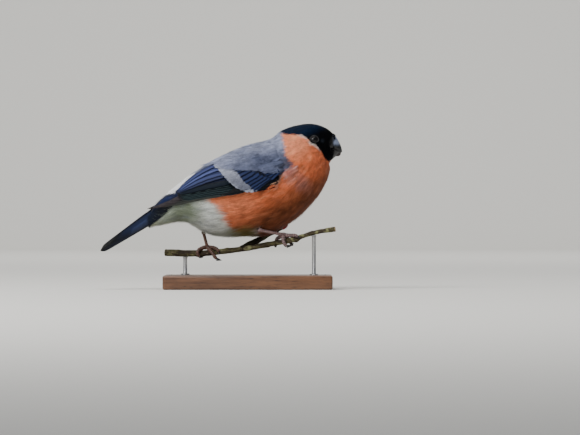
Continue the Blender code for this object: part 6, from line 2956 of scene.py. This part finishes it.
def overlays(coat: Coat, envelope: SideMap, side: Side) -> list[bpy.types.Object]:
    """Lay the scapulars and the breast feathers over the edges of one wing.

    Args:
        coat: The coat that they belong to.
        envelope: The outside of body and wing together.
        side: The side of the bird.

    Returns:
        The finished pieces.
    """
    scapulars = OverlayTract(
        "scapulars", Plumage.GREY,
        ((19.0, 74.0), (22.0, 70.0), (19.5, 66.8), (8.0, 67.8), (-6.8, 68.8), (-14.8, 69.8), (-20.0, 71.4),
         (-14.0, 75.0), (-3.0, 79.0), (8.0, 81.0), (16.0, 80.0)),
        (208.0, 200.0), (9.0, 7.0), 2.8, 1500,
        ((30.0, 95.0), (30.0, 64.0), (18.2, 64.9), (15.4, 65.2), (8.0, 65.8), (1.1, 66.8), (-6.8, 66.8),
         (-14.8, 67.9), (-20.0, 69.8), (-31.0, 67.0), (-31.0, 90.0)), seed=3)
    bend = OverlayTract(
        "breast_over_bend", Plumage.ORANGE,
        ((22.0, 54.0), (28.0, 61.0), (29.5, 70.0), (24.5, 71.5), (22.5, 67.0), (20.0, 61.5), (14.5, 59.5), (13.0, 56.0)),
        (206.0, 216.0), (6.0, 7.0), 2.0, 900,
        ((2.0, 54.6), (8.5, 56.0), (14.5, 57.6), (17.3, 61.4), (18.8, 64.8), (23.5, 71.0), (34.0, 72.0), (34.0, 48.0),
         (4.0, 48.0)), seed=5)
    # The wing bar's front tint is darker than its back one: painted shade on its lower front.
    bar = OverlayTract(
        "wing_bar_tips", Plumage.GREY,
        ((-7.4, 67.6), (-4.3, 64.0), (-0.8, 60.4), (2.6, 58.3), (1.2, 57.4), (-2.5, 58.2), (-6.4, 60.8), (-9.8, 64.8),
         (-13.5, 69.5)),
        (222.0, 214.0), (3.8, 2.4), 1.2, 800,
        ((-18.7, 69.8), (-15.6, 65.9), (-11.7, 61.1), (-8.2, 58.9), (-4.3, 56.0), (0.1, 55.2), (3.4, 56.6),
         (-0.8, 59.6), (-4.3, 63.7), (-7.4, 67.6), (-8.0, 71.0), (-16.0, 71.5)),
        (srgb(166, 170, 187), srgb(104, 108, 124)), math.radians(5.0), 9)
    wisps = OverlayTract(
        "wisps_over_bend", Plumage.ORANGE,
        ((19.5, 62.0), (22.0, 66.5), (24.5, 70.5), (26.0, 69.5), (24.0, 63.0), (20.5, 59.8), (17.0, 58.8)),
        (208.0, 226.0), (8.5, 6.0), 0.75, 90, tints=(srgb(236, 170, 134), srgb(190, 172, 174)),
        lift=math.radians(5.0), seed=11)
    under_tail = OverlayTract(
        "under_tail", Plumage.WHITE,
        ((-41.0, 46.4), (-46.0, 41.8), (-51.0, 38.6), (-53.5, 37.2), (-50.0, 37.0), (-44.0, 38.8), (-39.0, 41.0)),
        (213.0, 206.0), (6.0, 6.0), 1.3, 500,
        ((-43.4, 46.4), (-48.1, 40.9), (-52.7, 38.1), (-59.5, 35.3), (-59.0, 35.0), (-52.0, 36.1), (-44.0, 37.6),
         (-36.0, 40.0), (-38.0, 47.0)), lift=math.radians(1.5), seed=15)
    tail_root = OverlayTract(
        "tail_root", Plumage.GLOSS,
        ((-40.0, 50.2), (-43.6, 48.0), (-48.0, 47.6), (-53.5, 44.0), (-52.5, 40.0), (-48.1, 42.6), (-43.0, 48.0)),
        (220.0, 222.0), (6.0, 5.0), 1.8, 500,
        ((-43.4, 47.2), (-48.1, 41.6), (-52.7, 38.4), (-58.4, 35.4), (-62.0, 38.0), (-56.0, 46.0), (-50.0, 48.0),
         (-44.0, 49.4)), (srgb(16, 24, 40), srgb(6, 7, 10)), math.radians(1.0), 17)
    rump = OverlayTract(
        "rump_strip", Plumage.WHITE,
        ((-29.0, 67.2), (-32.0, 65.4), (-38.0, 60.8), (-43.0, 56.8), (-44.0, 55.4), (-41.5, 55.0), (-38.6, 57.8),
         (-35.6, 60.4), (-32.5, 63.2), (-29.5, 65.8)),
        (221.0, 220.0), (4.5, 5.0), 1.4, 500,
        ((-31.0, 66.0), (-33.5, 64.4), (-38.5, 60.6), (-43.0, 56.9), (-47.4, 53.2), (-46.6, 52.6), (-41.4, 55.3),
         (-38.6, 57.2), (-35.6, 60.4), (-32.5, 63.0), (-30.6, 64.8)),
        ((1.5, 1.5, 1.52), (1.5, 1.5, 1.52)), math.radians(2.0), 13)
    pieces = []
    for tract in (scapulars, bend, bar, wisps, rump, tail_root, under_tail):
        draw = np.random.default_rng(tract.seed)
        pieces += coat.grow(f"{tract.name}_{side.letter}", tract.kind, tract.tracks(envelope), draw,
                            tract.tint if tract.tints else None)
    return pieces


def main() -> None:
    """Build and dress the model piece by piece."""
    logging.basicConfig(level=logging.INFO, format="%(message)s")
    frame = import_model()
    deselect_all()
    nodes = frame["nodes"]
    lie = Lie()
    markings = Markings(Flow(lie))
    coat = Coat(markings, lie)
    flesh = surface_of([nodes[name] for name in ("torso", "neck", "head")])
    tail = Tail().build()
    for side, reach in ((Side.RIGHT, 0.0), (Side.LEFT, 2.6)):
        wing = Wing(side, reach).build(SideMap(flesh, side, 8.6 * MM, 1.6 * MM, 2))
        envelope = surface_of([nodes["torso"], nodes["neck"], wing, tail])
        overlays(coat, SideMap(envelope, side, 0.0, 0.0, 2), side)
    skin = Skin(markings).build(frame)
    eyes = [Eye(side) for side in Side]
    for eye in eyes:
        eye.build()
    coat.build(skin, Cover(eyes))
    bill = Bill()
    halves = bill.build()
    coat.grow("nasal_tufts", Plumage.CAP, bill.tufts(skin, halves), np.random.default_rng(19))
    twig = TwigLine()
    # The far left leg's skin is darker and redder than the near right one's: painted shade behind the body.
    Leg(Side.RIGHT, (6.6, -13.2, 33.6), (20.6, -6.3, 31.0), RIGHT_TOES_MM, srgb(134, 108, 106), twig).build()
    Leg(Side.LEFT, (-25.6, 9.6, 32.2), (-23.4, 5.0, 24.1), LEFT_TOES_MM, srgb(104, 70, 56), twig).build()
    Perch(twig).build()
    Stand(twig).build()
    Studio().build()


if __name__ == "__main__":
    main()
